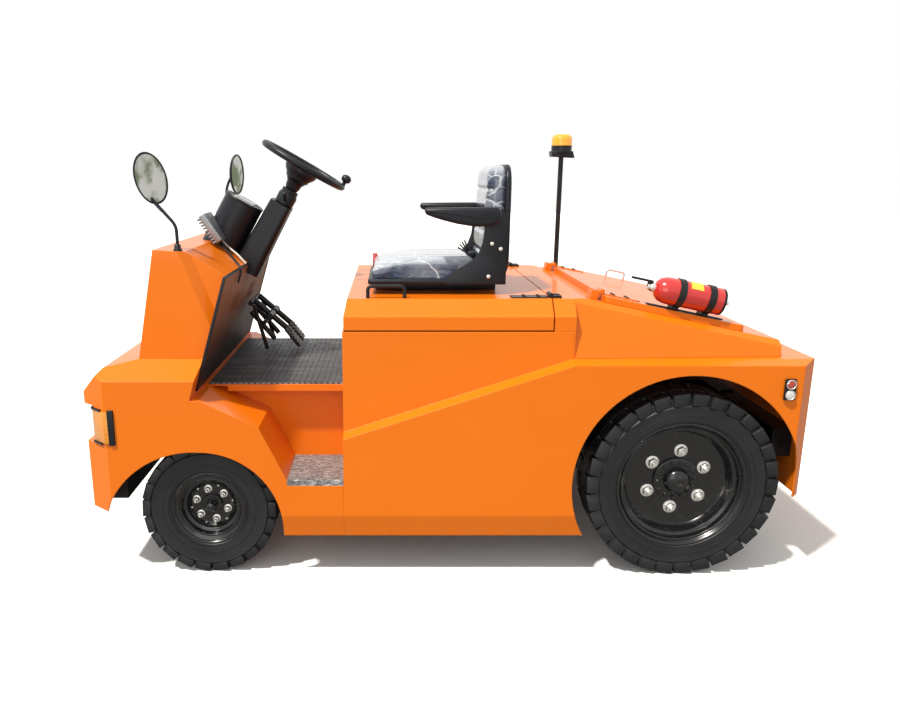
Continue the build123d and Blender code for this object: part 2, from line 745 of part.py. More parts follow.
# Sloping rear deck as a closed form, then the room inside its sheet. Its walls start where the ledge
# turns level and lean inwards, and a bulkhead there closes the step to the upright walls in front.
DECK_LEAN = (UPPER_HALF_WIDTH - DECK_HALF_WIDTH) / (deck_z(LEDGE_BEND_X) - STRIP_DROP - LEDGE_TOP_Z)
deck_forms = []
for inset in (0, SHEET):
    start_x = LEDGE_BEND_X - inset
    with BuildPart() as form:
        with BuildSketch(along(start_x)):
            with BuildLine():
                Polyline(
                    *both_sides([
                        (UPPER_HALF_WIDTH - inset + DECK_LEAN * inset, LEDGE_TOP_Z - inset),
                        (DECK_HALF_WIDTH - inset, deck_z(start_x) - STRIP_DROP - inset),
                        (STRIP_INNER_Y, deck_z(start_x) - inset),
                    ]),
                    close=True,
                )
            make_face()
        extrude(amount=(start_x - DECK_REAR_X - inset) * SLOPE_LENGTH, dir=(-1, 0, -DECK_SLOPE))
        with BuildSketch(Plane.XY.offset(LEDGE_TOP_Z - inset)):
            with Locations(((start_x + TAIL_X) / 2, 0)):
                Rectangle(start_x - TAIL_X, 2 * HALF_WIDTH)
        extrude(amount=-LEDGE_Z / 2, mode=Mode.SUBTRACT)
        with BuildSketch(Plane.XY.offset(TOP_Z - inset)):
            with Locations(((start_x + DECK_BEND_X) / 2 - inset, 0)):
                Rectangle(start_x - DECK_BEND_X + 2 * SHEET, 2 * HALF_WIDTH)
        extrude(amount=TOP_Z, mode=Mode.SUBTRACT)
        # Short level part in front, up to the lid
        with BuildSketch(along(LEDGE_BEND_X)):
            with BuildLine():
                Polyline(
                    *both_sides([
                        (UPPER_HALF_WIDTH - inset, LID_SEAM_Z - MOVING_GAP - inset),
                        (UPPER_HALF_WIDTH - inset, SHOULDER_Z - inset / 2),
                        (TOP_HALF_WIDTH - inset / 2, TOP_Z - inset),
                    ]),
                    close=True,
                )
            make_face()
        extrude(amount=LID_REAR_X - MOVING_GAP - inset - LEDGE_BEND_X)
    deck_forms.append(form)
deck_form, deck_room = deck_forms

# Rear deck: folded sheet with side walls down to the ledge and an opening under the hood
with BuildPart() as rear_deck:
    add(deck_form.part)
    with BuildSketch(along(LEDGE_BEND_X)):
        with BuildLine():
            Polyline(
                *both_sides([
                    (UPPER_HALF_WIDTH, LEDGE_TOP_Z),
                    (UPPER_HALF_WIDTH, SHOULDER_Z),
                    (TOP_HALF_WIDTH, TOP_Z),
                ]),
                close=True,
            )
        make_face()
    extrude(amount=-SHEET)
    add(deck_room.part, mode=Mode.SUBTRACT)
    with BuildSketch(Plane.XY.offset(LEDGE_Z)):
        with Locations(((HOOD_FRONT_X + HOOD_REAR_X) / 2, 0)):
            Rectangle(HOOD_FRONT_X - HOOD_REAR_X - 2 * HOOD_OPENING_INSET,
                      2 * (HOOD_HALF_WIDTH - HOOD_OPENING_INSET))
    extrude(amount=TOP_Z - LEDGE_Z, mode=Mode.SUBTRACT)
rear_deck.part.label = "rear_deck"
export_step(rear_deck.part, "parts/rear_deck.step")

# Frame: two channel rails with cross members and outriggers to the body sides
with BuildPart() as frame:
    with BuildSketch(Plane.XY.offset(RAIL_BOTTOM_Z)):
        for side in (1, -1):
            with Locations(((RAIL_FRONT_X + TAIL_X + SHEET) / 2, side * RAIL_Y)):
                Rectangle(RAIL_FRONT_X - TAIL_X - SHEET, RAIL_W)
    extrude(amount=RAIL_TOP_Z - RAIL_BOTTOM_Z)
    for y in (RAIL_Y + RAIL_W / 2, -RAIL_Y - RAIL_WEB + RAIL_W / 2):
        with BuildSketch(across(y)):
            with Locations(((RAIL_FRONT_X + TAIL_X) / 2, (RAIL_BOTTOM_Z + RAIL_TOP_Z) / 2)):
                Rectangle(2 * NOSE_X, RAIL_TOP_Z - RAIL_BOTTOM_Z - 2 * RAIL_WEB)
        extrude(amount=RAIL_W - RAIL_WEB, mode=Mode.SUBTRACT)
    with BuildSketch(Plane.XY.offset(RAIL_BOTTOM_Z)):
        for x in CROSS_MEMBER_X:
            with Locations((x, 0)):
                Rectangle(CROSS_MEMBER_W, 2 * RAIL_Y)
        for x in OUTRIGGER_X:
            for side in (1, -1):
                with Locations((x, side * (RAIL_Y + HALF_WIDTH - SHEET) / 2)):
                    Rectangle(CROSS_MEMBER_W, HALF_WIDTH - SHEET - RAIL_Y)
        for side in (1, -1):
            with Locations((STEP_OUTRIGGER_X, side * (RAIL_Y + RISER_Y - SHEET) / 2)):
                Rectangle(CROSS_MEMBER_W, RISER_Y - SHEET - RAIL_Y)
    extrude(amount=OUTRIGGER_H)
    # Bumper beam and its rear counterpart
    with BuildSketch(along(RAIL_FRONT_X)):
        with Locations((0, BUMPER_BOTTOM_Z + BEAM_INSET)):
            Rectangle(2 * BEAM_HALF_WIDTH, RECESS_BOTTOM_Z - BUMPER_BOTTOM_Z - 2 * BEAM_INSET,
                      align=(Align.CENTER, Align.MIN))
        with Locations((0, BUMPER_BOTTOM_Z)):
            Rectangle(2 * JAW_HALF_WIDTH + 2 * MOVING_GAP, JAW_TOP_Z - BUMPER_BOTTOM_Z,
                      align=(Align.CENTER, Align.MIN), mode=Mode.SUBTRACT)
    extrude(amount=NOSE_X - SHEET - RAIL_FRONT_X)
    with BuildSketch(along(TAIL_X + SHEET)):
        with Locations((0, RAIL_BOTTOM_Z)):
            Rectangle(2 * BEAM_HALF_WIDTH, RAIL_TOP_Z - RAIL_BOTTOM_Z, align=(Align.CENTER, Align.MIN))
    extrude(amount=CROSS_MEMBER_W)
    # Well for the tow pin's head
    with BuildSketch(Plane.XY.offset(RAIL_BOTTOM_Z)):
        with Locations((TOW_PIN_X, 0)):
            Circle(PIN_WELL_R)
    extrude(amount=RAIL_TOP_Z - RAIL_BOTTOM_Z, mode=Mode.SUBTRACT)
frame.part.label = "frame"
export_step(frame.part, "parts/frame.step")

# Battery: one plain block on the rails
with BuildPart() as battery:
    with BuildSketch(Plane.XY.offset(RAIL_TOP_Z)):
        with Locations(((BATTERY_FRONT_X + BATTERY_REAR_X) / 2, 0)):
            Rectangle(BATTERY_FRONT_X - BATTERY_REAR_X, 2 * BATTERY_HALF_WIDTH)
    extrude(amount=BATTERY_H)
    chamfer(edges().filter_by(Axis.Z), BATTERY_CORNER)
battery.part.label = "battery"
export_step(battery.part, "parts/battery.step")

# Front axle: beam on pedestals below the rails, with a forked yoke at each kingpin
YOKE_INNER_Z = KNUCKLE_H / 2 + 1
YOKE_OUTER_Z = YOKE_INNER_Z + YOKE_LUG
with BuildPart() as front_axle:
    with BuildSketch(across(YOKE_BACK_Y)):
        with Locations((FRONT_AXLE_X, FRONT_TYRE_R)):
            Rectangle(2 * KNUCKLE_R + 20, AXLE_BEAM_H)
    extrude(amount=2 * YOKE_BACK_Y)
    with BuildSketch(Plane.XY.offset(FRONT_TYRE_R)):
        for side in (1, -1):
            with Locations((FRONT_AXLE_X, side * RAIL_Y)):
                Rectangle(2 * KNUCKLE_R + 20, RAIL_W)
    extrude(amount=RAIL_BOTTOM_Z - FRONT_TYRE_R)
    for side in (1, -1):
        with BuildSketch(across(side * YOKE_BACK_Y)):
            with Locations((FRONT_AXLE_X, FRONT_TYRE_R)):
                Rectangle(2 * KNUCKLE_R, 2 * YOKE_OUTER_Z)
        extrude(amount=side * YOKE_LUG)
        for low in (FRONT_TYRE_R - YOKE_OUTER_Z, FRONT_TYRE_R + YOKE_INNER_Z):
            with BuildSketch(Plane.XY.offset(low)):
                with Locations((FRONT_AXLE_X, side * KINGPIN_Y)):
                    Circle(KNUCKLE_R)
                with Locations((FRONT_AXLE_X, side * (KINGPIN_Y + YOKE_BACK_Y - YOKE_LUG) / 2)):
                    Rectangle(2 * KNUCKLE_R, KINGPIN_Y - YOKE_BACK_Y + YOKE_LUG)
                with Locations((FRONT_AXLE_X, side * KINGPIN_Y)):
                    Circle(KINGPIN_R + RUNNING, mode=Mode.SUBTRACT)
            extrude(amount=YOKE_LUG)
front_axle.part.label = "front_axle"
export_step(front_axle.part, "parts/front_axle.step")

# Knuckles: boss on the kingpin with the wheel's spindle and a steering arm
for name, side in (("left", 1), ("right", -1)):
    with BuildPart() as knuckle:
        with BuildSketch(Plane.XY.offset(FRONT_TYRE_R - YOKE_OUTER_Z)):
            with Locations((FRONT_AXLE_X, side * KINGPIN_Y)):
                Circle(KINGPIN_R)
        extrude(amount=2 * YOKE_OUTER_Z)
        with BuildSketch(Plane.XY.offset(FRONT_TYRE_R - KNUCKLE_H / 2)):
            with Locations((FRONT_AXLE_X, side * KINGPIN_Y)):
                Circle(KNUCKLE_R)
        extrude(amount=KNUCKLE_H)
        with BuildSketch(across(side * KINGPIN_Y)):
            with Locations((FRONT_AXLE_X, FRONT_TYRE_R)):
                Circle(FRONT_SPINDLE_R)
        extrude(amount=-side * (FRONT_WHEEL_Y + FRONT_SPINDLE_END - KINGPIN_Y))
    knuckle.part.label = f"knuckle_{name}"
    export_step(knuckle.part, f"parts/knuckle_{name}.step")

# Rear axle: tube with a drive housing, saddles under the rails and a stub in each wheel
with BuildPart() as rear_axle:
    with BuildSketch(across(REAR_HUB_Y - MOVING_GAP)):
        with Locations((REAR_AXLE_X, REAR_TYRE_R)):
            Circle(REAR_TUBE_R)
    extrude(amount=2 * (REAR_HUB_Y - MOVING_GAP))
    with BuildSketch(across(REAR_WHEEL_Y + REAR_SPINDLE_END)):
        with Locations((REAR_AXLE_X, REAR_TYRE_R)):
            Circle(REAR_SPINDLE_R)
    extrude(amount=2 * (REAR_WHEEL_Y + REAR_SPINDLE_END))
    with BuildSketch(axle_plane(REAR_AXLE_X, 0, REAR_TYRE_R)):
        with BuildLine():
            Line((-DRIVE_HALF_WIDTH, 0), (-DRIVE_HALF_WIDTH, REAR_TUBE_R))
            ThreePointArc((-DRIVE_HALF_WIDTH, REAR_TUBE_R), (0, DRIVE_R), (DRIVE_HALF_WIDTH, REAR_TUBE_R))
            Polyline((DRIVE_HALF_WIDTH, REAR_TUBE_R), (DRIVE_HALF_WIDTH, 0), (-DRIVE_HALF_WIDTH, 0))
        make_face()
    revolve(axis=Axis((REAR_AXLE_X, 0, REAR_TYRE_R), (0, 1, 0)))
    with BuildSketch(along(REAR_AXLE_X)):
        with Locations((0, REAR_TYRE_R)):
            Circle(MOTOR_R)
    extrude(amount=MOTOR_LENGTH)
    with BuildSketch(Plane.XY.offset(REAR_TYRE_R)):
        for side in (1, -1):
            with Locations((REAR_AXLE_X, side * RAIL_Y)):
                Rectangle(2 * REAR_TUBE_R, RAIL_W)
    extrude(amount=RAIL_BOTTOM_Z - REAR_TYRE_R)
rear_axle.part.label = "rear_axle"
export_step(rear_axle.part, "parts/rear_axle.step")

# Wheels: each row gives name, axle X, centre Y, tyre radius, width, bore radius and lug count
WHEELS = (
    ("front_left", FRONT_AXLE_X, FRONT_WHEEL_Y, FRONT_TYRE_R, FRONT_TYRE_W, FRONT_TYRE_BORE_R, FRONT_LUGS),
    ("front_right", FRONT_AXLE_X, -FRONT_WHEEL_Y, FRONT_TYRE_R, FRONT_TYRE_W, FRONT_TYRE_BORE_R, FRONT_LUGS),
    ("rear_left", REAR_AXLE_X, REAR_WHEEL_Y, REAR_TYRE_R, REAR_TYRE_W, REAR_TYRE_BORE_R, REAR_LUGS),
    ("rear_right", REAR_AXLE_X, -REAR_WHEEL_Y, REAR_TYRE_R, REAR_TYRE_W, REAR_TYRE_BORE_R, REAR_LUGS),
)
for name, x, y, radius, width, bore, lugs in WHEELS:
    side = 1 if y > 0 else -1
    half = width / 2
    axis = Axis((x, y, radius), (0, 1, 0))
    with BuildPart() as tyre:
        with BuildSketch(axle_plane(x, y, radius)):
            with BuildLine():
                Polyline(
                    (0, bore + RUNNING),
                    (half - BEAD_INSET, bore + RUNNING),
                    (half - BEAD_INSET, bore + RIM_LIP),
                    (half, bore + 2 * RIM_LIP),
                    (half, radius - TYRE_SHOULDER),
                    (half - 0.6 * TYRE_SHOULDER, radius),
                    (0, radius),
                    close=True,
                )
            make_face()
            mirror(about=Plane.YZ)
        revolve(axis=axis)
        # Grooves between the shoulder lugs
        for face_y, reach in ((y + half, TYRE_SHOULDER), (y - half, -TYRE_SHOULDER)):
            with BuildSketch(Plane(origin=(x, face_y, radius), x_dir=(1, 0, 0), z_dir=(0, -1, 0))):
                with PolarLocations(radius, lugs):
                    Rectangle(2 * LUG_DEPTH, LUG_GROOVE)
            extrude(amount=reach, mode=Mode.SUBTRACT)
    tyre.part.label = f"tyre_{name}"
    export_step(tyre.part, f"parts/tyre_{name}.step")

    shaft = FRONT_SPINDLE_R if x > 0 else REAR_SPINDLE_R
    shaft_end = FRONT_SPINDLE_END if x > 0 else REAR_SPINDLE_END
    hub = shaft + HUB_WALL
    with BuildPart() as rim:
        with BuildSketch(axle_plane(x, y, radius)):
            # Barrel with both flanges
            with BuildLine():
                Polyline(
                    (BEAD_INSET - half - RIM_SHEET, bore - RIM_SHEET),
                    (BEAD_INSET - half - RIM_SHEET, bore + RIM_LIP),
                    (BEAD_INSET - half - SEAT_GAP, bore + RIM_LIP),
                    (BEAD_INSET - half - SEAT_GAP, bore),
                    (half - BEAD_INSET + SEAT_GAP, bore),
                    (half - BEAD_INSET + SEAT_GAP, bore + RIM_LIP),
                    (half - BEAD_INSET + RIM_SHEET, bore + RIM_LIP),
                    (half - BEAD_INSET + RIM_SHEET, bore - RIM_SHEET),
                    close=True,
                )
            make_face()
            # Disc and hub with a closed cap, outer side towards +Y
            with BuildLine():
                Polyline(
                    (-side * HUB_LENGTH / 2, shaft + RUNNING),
                    (-side * HUB_LENGTH / 2, hub),
                    (side * DISC_AT, hub + 6),
                    (side * DISC_AT, bore - RIM_SHEET / 2),
                    (side * (DISC_AT + DISC_SHEET), bore - RIM_SHEET / 2),
                    (side * (DISC_AT + DISC_SHEET), hub + 4),
                    (side * (shaft_end + MOVING_GAP), hub),
                    (side * (shaft_end + 4 * MOVING_GAP), hub * 0.7),
                    (side * (shaft_end + 4 * MOVING_GAP), 0),
                    (side * (shaft_end + MOVING_GAP), 0),
                    (side * (shaft_end + MOVING_GAP), shaft + RUNNING),
                    close=True,
                )
            make_face()
        revolve(axis=axis)
        with BuildSketch(across(y + side * (DISC_AT + DISC_SHEET))):
            with Locations((x, radius)):
                with PolarLocations((hub + bore) / 2, WHEEL_NUTS):
                    RegularPolygon(NUT_R, 6)
        extrude(amount=-side * NUT_H)
    rim.part.label = f"rim_{name}"
    export_step(rim.part, f"parts/rim_{name}.step")

# Floor: sheet with turned-down lips past the risers, and a ribbed rubber mat
with BuildPart() as floor_plate:
    with BuildSketch(Plane.XY.offset(FLOOR_UNDER_Z)):
        with Locations((BAY_REAR_X + SEAT_GAP, 0)):
            Rectangle(FLOOR_FRONT_X - BAY_REAR_X - SEAT_GAP, 2 * FLOOR_HALF_WIDTH,
                      align=(Align.MIN, Align.CENTER))
    extrude(amount=FLOOR_SHEET)
    with BuildSketch(Plane.XY.offset(FLOOR_UNDER_Z)):
        for side in (1, -1):
            with Locations((BAY_REAR_X + SEAT_GAP, side * (FLOOR_HALF_WIDTH - SHEET / 2))):
                Rectangle(FLOOR_LIP_FRONT_X - BAY_REAR_X - SEAT_GAP, SHEET, align=(Align.MIN, Align.CENTER))
    extrude(amount=-FLOOR_LIP)
    add(nose_form.part, mode=Mode.SUBTRACT)
floor_plate.part.label = "floor_plate"
export_step(floor_plate.part, "parts/floor_plate.step")

with BuildPart() as floor_mat:
    with BuildSketch(Plane.XY.offset(FLOOR_UNDER_Z + FLOOR_SHEET)):
        with Locations((BAY_REAR_X + MAT_MARGIN, 0)):
            Rectangle(FLOOR_FRONT_X - BAY_REAR_X - 3 * MAT_MARGIN, 2 * (FLOOR_HALF_WIDTH - MAT_MARGIN),
                      align=(Align.MIN, Align.CENTER))
    extrude(amount=FLOOR_MAT - MAT_RIB_H)
    with BuildSketch(Plane.XY.offset(FLOOR_UNDER_Z + FLOOR_SHEET + FLOOR_MAT - MAT_RIB_H)):
        with Locations(((FLOOR_FRONT_X + BAY_REAR_X - MAT_MARGIN) / 2, 0)):
            with GridLocations(MAT_RIB_PITCH, 1, MAT_RIBS, 1):
                Rectangle(MAT_RIB_PITCH / 2, 2 * (FLOOR_HALF_WIDTH - 2 * MAT_MARGIN))
    extrude(amount=MAT_RIB_H)
floor_mat.part.label = "floor_mat"
export_step(floor_mat.part, "parts/floor_mat.step")

# Step treads: one folded plate in the foot of each step well
for name, side in (("left", 1), ("right", -1)):
    with BuildPart() as step_tread:
        with BuildSketch(Plane.XY.offset(STEP_Z - STEP_THICKNESS)):
            with Locations((BAY_REAR_X + SEAT_GAP, side * (RISER_Y + HALF_WIDTH) / 2)):
                Rectangle(HOUSING_FOOT_X - BAY_REAR_X - 2 * SEAT_GAP, HALF_WIDTH - RISER_Y,
                          align=(Align.MIN, Align.CENTER))
        extrude(amount=STEP_THICKNESS)
        chamfer(edges().filter_by(Axis.X).group_by(Axis.Z)[-1], STEP_EDGE)
    step_tread.part.label = f"step_tread_{name}"
    export_step(step_tread.part, f"parts/step_tread_{name}.step")

# Kick panel: sheet up the sloping rear of the cowl, with short slanted slots beside the column
KICK_PLANE = Plane(
    origin=(KICK_FOOT_X, 0, KICK_FOOT_Z),
    x_dir=(0, -1, 0),
    z_dir=(KICK_FOOT_Z - KICK_TOP_Z, 0, KICK_TOP_X - KICK_FOOT_X),
)
KICK_LENGTH = ((KICK_FOOT_X - KICK_TOP_X) ** 2 + (KICK_TOP_Z - KICK_FOOT_Z) ** 2) ** 0.5
with BuildPart() as kick_panel:
    with BuildSketch(KICK_PLANE):
        with Locations((0, KICK_START)):
            Rectangle(2 * KICK_HALF_WIDTH, KICK_LENGTH - KICK_START, align=(Align.CENTER, Align.MIN))
        with Locations((SLOT_Y, SLOT_UP), (-SLOT_Y, SLOT_UP)):
            with GridLocations(SLOT_PITCH, 1, 5, 1):
                SlotOverall(SLOT_LENGTH, SLOT_W, rotation=65, mode=Mode.SUBTRACT)
    extrude(amount=SHEET)
kick_panel.part.label = "kick_panel"
export_step(kick_panel.part, "parts/kick_panel.step")

# Steering column: shaft, tube and box cover, standing square on the sloping dash
COLUMN = Plane(
    origin=(STEER_WHEEL_X, 0, STEER_WHEEL_Z),
    x_dir=(cos(radians(STEER_TILT)), 0, sin(radians(STEER_TILT))),
    z_dir=(-sin(radians(STEER_TILT)), 0, cos(radians(STEER_TILT))),
)
with BuildPart() as steering_column:
    with BuildSketch(COLUMN.offset(-HUB_DROP - SEAT_GAP)):
        Circle(COLUMN_R)
    extrude(amount=-(COLUMN_LENGTH - HUB_DROP - SEAT_GAP))
    with BuildSketch(COLUMN.offset(-COLUMN_COVER_START)):
        with Locations((COLUMN_COVER_SHIFT, 0)):
            RectangleRounded(COLUMN_COVER_DEPTH, COLUMN_COVER_W, 18)
    extrude(amount=-(COLUMN_LENGTH - COLUMN_COVER_START), taper=-2)
    with BuildSketch(COLUMN.offset(-HUB_DROP - SEAT_GAP)):
        Circle(STEER_SHAFT_R)
    extrude(amount=HUB_DROP / 2)
    add(cowl_form.part, mode=Mode.SUBTRACT)
    add(kick_panel.part, mode=Mode.SUBTRACT)
steering_column.part.label = "steering_column"
export_step(steering_column.part, "parts/steering_column.step")

# Steering wheel: rim, three spokes, cone hub and a spinner knob
with BuildPart() as steering_wheel:
    with BuildSketch(Plane(origin=COLUMN.origin, x_dir=COLUMN.x_dir, z_dir=(0, -1, 0))):
        with Locations((STEER_WHEEL_R - STEER_RIM_R, 0)):
            RegularPolygon(STEER_RIM_R, 10)
    revolve(axis=Axis(COLUMN.origin, COLUMN.z_dir))
    with BuildSketch(COLUMN.offset(-SPOKE_T)):
        with PolarLocations((STEER_WHEEL_R - STEER_RIM_R) / 2, 3, start_angle=60):
            Rectangle(STEER_WHEEL_R - STEER_RIM_R, SPOKE_W)
    extrude(amount=SPOKE_T)
    with BuildSketch(COLUMN.offset(-HUB_DROP)):
        Circle(COLUMN_R)
    extrude(amount=HUB_DROP + 8, taper=8)
    with BuildSketch(COLUMN.offset(STEER_RIM_R - 3)):
        with Locations((STEER_RIM_R - STEER_WHEEL_R, 0)):
            Circle(KNOB_R)
    extrude(amount=KNOB_H)
    with BuildSketch(COLUMN.offset(-HUB_DROP)):
        Circle(STEER_SHAFT_R + RUNNING)
    extrude(amount=HUB_DROP / 2 + MOVING_GAP, mode=Mode.SUBTRACT)
steering_wheel.part.label = "steering_wheel"
export_step(steering_wheel.part, "parts/steering_wheel.step")

# Display pod: drum in front of the column, and the finned controller block beside it
with BuildPart() as display_pod:
    with BuildSketch(COLUMN.offset(-POD_TOP)):
        with Locations((POD_FORWARD, 0)):
            Circle(POD_R)
    extrude(amount=-POD_H)
    add(cowl_form.part, mode=Mode.SUBTRACT)
display_pod.part.label = "display_pod"
export_step(display_pod.part, "parts/display_pod.step")

with BuildPart() as controller:
    with BuildSketch(Plane.XY.offset(COWL_TOP_REAR_Z)):
        with Locations((CONTROLLER_X, CONTROLLER_Y)):
            Rectangle(CONTROLLER_LENGTH, CONTROLLER_W)
    extrude(amount=CONTROLLER_H)
    with BuildSketch(Plane.XY.offset(COWL_TOP_REAR_Z + CONTROLLER_H)):
        with Locations((CONTROLLER_X, CONTROLLER_Y)):
            with GridLocations(CONTROLLER_LENGTH / 5, 1, 5, 1):
                Rectangle(CONTROLLER_LENGTH / 10, CONTROLLER_W)
    extrude(amount=CONTROLLER_FIN)
    add(cowl_form.part, mode=Mode.SUBTRACT)
controller.part.label = "controller"
export_step(controller.part, "parts/controller.step")

# Pedals: pads on arms from the kick panel
for name, y in (("brake", PEDAL_Y), ("drive", PEDAL_Y - PEDAL_PITCH)):
    with BuildPart() as pedal:
        with BuildSketch(across(y + PEDAL_W / 2)):
            with BuildLine():
                Polyline(
                    (PEDAL_X, PEDAL_Z),
                    (PEDAL_X + PEDAL_RUN, PEDAL_Z + PEDAL_RISE),
                    (PEDAL_X + PEDAL_RUN + PEDAL_PAD, PEDAL_Z + PEDAL_RISE - PEDAL_PAD_DROP),
                    (PEDAL_X + PEDAL_PAD, PEDAL_Z - PEDAL_PAD_DROP),
                    close=True,
                )
            make_face()
        extrude(amount=PEDAL_W)
        with BuildSketch(across(y + PEDAL_ARM / 2)):
            with BuildLine():
                Polyline(
                    (PEDAL_X + PEDAL_RUN / 2, PEDAL_Z + PEDAL_RISE / 2 - PEDAL_PAD_DROP),
                    (PEDAL_X + PEDAL_RUN, PEDAL_Z + PEDAL_RISE - PEDAL_PAD_DROP),
                    (kick_x(PEDAL_ARM_Z) - KICK_INSET, PEDAL_ARM_Z),
                    (kick_x(PEDAL_ARM_Z - PEDAL_ARM) - KICK_INSET, PEDAL_ARM_Z - PEDAL_ARM),
                    close=True,
                )
            make_face()
        extrude(amount=PEDAL_ARM)
    pedal.part.label = f"pedal_{name}"
    export_step(pedal.part, f"parts/pedal_{name}.step")

# Seat lid: sheet cover over the battery, chamfered along both sides
with BuildPart() as seat_lid:
    with BuildSketch(across(UPPER_HALF_WIDTH)):
        with BuildLine():
            Polyline(
                (BAY_REAR_X - MOVING_GAP, LID_SEAM_Z),
                (BAY_REAR_X - MOVING_GAP, SHOULDER_Z),
                (LID_FRONT_TOP_X, TOP_Z),
                (LID_REAR_X, TOP_Z),
                (LID_REAR_X, LID_SEAM_Z),
                close=True,
            )
        make_face()
    extrude(amount=2 * UPPER_HALF_WIDTH)
    with BuildSketch(along(LID_REAR_X)):
        with BuildLine():
            Polyline(
                *both_sides([
                    (UPPER_HALF_WIDTH, LID_SEAM_Z),
                    (UPPER_HALF_WIDTH, SHOULDER_Z),
                    (TOP_HALF_WIDTH, TOP_Z),
                ]),
                close=True,
            )
        make_face()
    extrude(amount=BAY_REAR_X - LID_REAR_X, mode=Mode.INTERSECT)
    offset(
        amount=-LID_SHEET,
        openings=faces().filter_by(Axis.Z).sort_by(Axis.Z)[0],
        kind=Kind.INTERSECTION,
    )
seat_lid.part.label = "seat_lid"
export_step(seat_lid.part, "parts/seat_lid.step")

# Hood over the drive: raised sheet tray parallel to the sloping deck
with BuildPart() as rear_hood:
    with BuildSketch(across(HOOD_HALF_WIDTH)):
        with BuildLine():
            Polyline(
                (HOOD_FRONT_X, deck_z(HOOD_FRONT_X) + HOOD_REST),
                (HOOD_FRONT_X, deck_z(HOOD_FRONT_X) + HOOD_REST + HOOD_HEIGHT),
                (HOOD_REAR_X, deck_z(HOOD_REAR_X) + HOOD_REST + HOOD_HEIGHT),
                (HOOD_REAR_X, deck_z(HOOD_REAR_X) + HOOD_REST),
                close=True,
            )
        make_face()
    extrude(amount=2 * HOOD_HALF_WIDTH)
    fillet(edges().filter_by(Axis.Z), HOOD_CORNER)
    offset(
        amount=-LID_SHEET,
        openings=faces().sort_by(lambda face: face.normal_at().Z)[0],
        kind=Kind.INTERSECTION,
    )
rear_hood.part.label = "rear_hood"
export_step(rear_hood.part, "parts/rear_hood.step")

# Hinge halves in their own frame: pin along Y through the origin, moving side towards +X
with BuildPart() as hinge_strap:
    with BuildSketch(across(HINGE_W / 2)):
        with Locations((HINGE_R + 2, -HINGE_R - 1)):
            Rectangle(HINGE_STRAP, HINGE_T, align=(Align.MIN, Align.MIN))
    extrude(amount=HINGE_W)
    with BuildSketch(across(HINGE_W / 6)):
        Circle(HINGE_R)
        with Locations((0, -HINGE_R - 1)):
            Rectangle(HINGE_R + 3, HINGE_T, align=(Align.MIN, Align.MIN))
    extrude(amount=HINGE_W / 3)
    with BuildSketch(across(HINGE_W / 2)):
        Circle(HINGE_PIN_R)
    extrude(amount=HINGE_W)

with BuildPart() as hinge_foot:
    for y in (HINGE_W / 2, -HINGE_W / 6 - SEAT_GAP):
        with BuildSketch(across(y)):
            Circle(HINGE_R)
            with Locations((0, -HINGE_R - 1)):
                Rectangle(HINGE_R + HINGE_FOOT, HINGE_R + 1, align=(Align.MAX, Align.MIN))
            Circle(HINGE_PIN_R + RUNNING, mode=Mode.SUBTRACT)
        extrude(amount=HINGE_W / 3 - SEAT_GAP)
    with BuildSketch(across(HINGE_W / 2)):
        with Locations((-HINGE_R - 2, -HINGE_R - 1)):
            Rectangle(HINGE_FOOT, HINGE_T, align=(Align.MAX, Align.MIN))
    extrude(amount=HINGE_W)

LID_HINGE_Z = TOP_Z + HINGE_R + 1
with BuildPart() as lid_hinges:
    with Locations((LID_REAR_X, HINGE_Y, LID_HINGE_Z), (LID_REAR_X, -HINGE_Y, LID_HINGE_Z)):
        add(hinge_strap.part)
lid_hinges.part.label = "lid_hinges"
export_step(lid_hinges.part, "parts/lid_hinges.step")

with BuildPart() as lid_hinge_feet:
    with Locations((LID_REAR_X, HINGE_Y, LID_HINGE_Z), (LID_REAR_X, -HINGE_Y, LID_HINGE_Z)):
        add(hinge_foot.part)
lid_hinge_feet.part.label = "lid_hinge_feet"
export_step(lid_hinge_feet.part, "parts/lid_hinge_feet.step")

# Hood hinges: the same straps and feet on the sloping deck, each foot on a pedestal as high as the hood
HOOD_TOP = HOOD_REST + HOOD_HEIGHT
HOOD_X_DIR = (1 / SLOPE_LENGTH, 0, DECK_SLOPE / SLOPE_LENGTH)
HOOD_Z_DIR = (-DECK_SLOPE / SLOPE_LENGTH, 0, 1 / SLOPE_LENGTH)


def on_hood(x, y, height=0):
    """Plane on the hood's top at x and y, its x along the slope forward, lifted by height."""
    return Plane(origin=(x, y, deck_z(x) + HOOD_TOP), x_dir=HOOD_X_DIR, z_dir=HOOD_Z_DIR).offset(height)


HOOD_HINGES = [
    Plane(origin=on_hood(HOOD_FRONT_X, y, HINGE_R + 1).origin,
          x_dir=(-HOOD_X_DIR[0], 0, -HOOD_X_DIR[2]), z_dir=HOOD_Z_DIR)
    for y in (HINGE_Y - HINGE_W, -HINGE_Y + HINGE_W)
]
with BuildPart() as hinge_pedestal:
    with BuildSketch(across(HINGE_W / 2)):
        with Locations((-HINGE_R - 2, -HINGE_R - 1)):
            Rectangle(HINGE_FOOT, HOOD_TOP / SLOPE_LENGTH, align=(Align.MAX, Align.MAX))
    extrude(amount=HINGE_W)

with BuildPart() as hood_hinges:
    with Locations(*HOOD_HINGES):
        add(hinge_strap.part)
hood_hinges.part.label = "hood_hinges"
export_step(hood_hinges.part, "parts/hood_hinges.step")

with BuildPart() as hood_hinge_feet:
    with Locations(*HOOD_HINGES):
        add(hinge_foot.part)
        add(hinge_pedestal.part)
hood_hinge_feet.part.label = "hood_hinge_feet"
export_step(hood_hinge_feet.part, "parts/hood_hinge_feet.step")

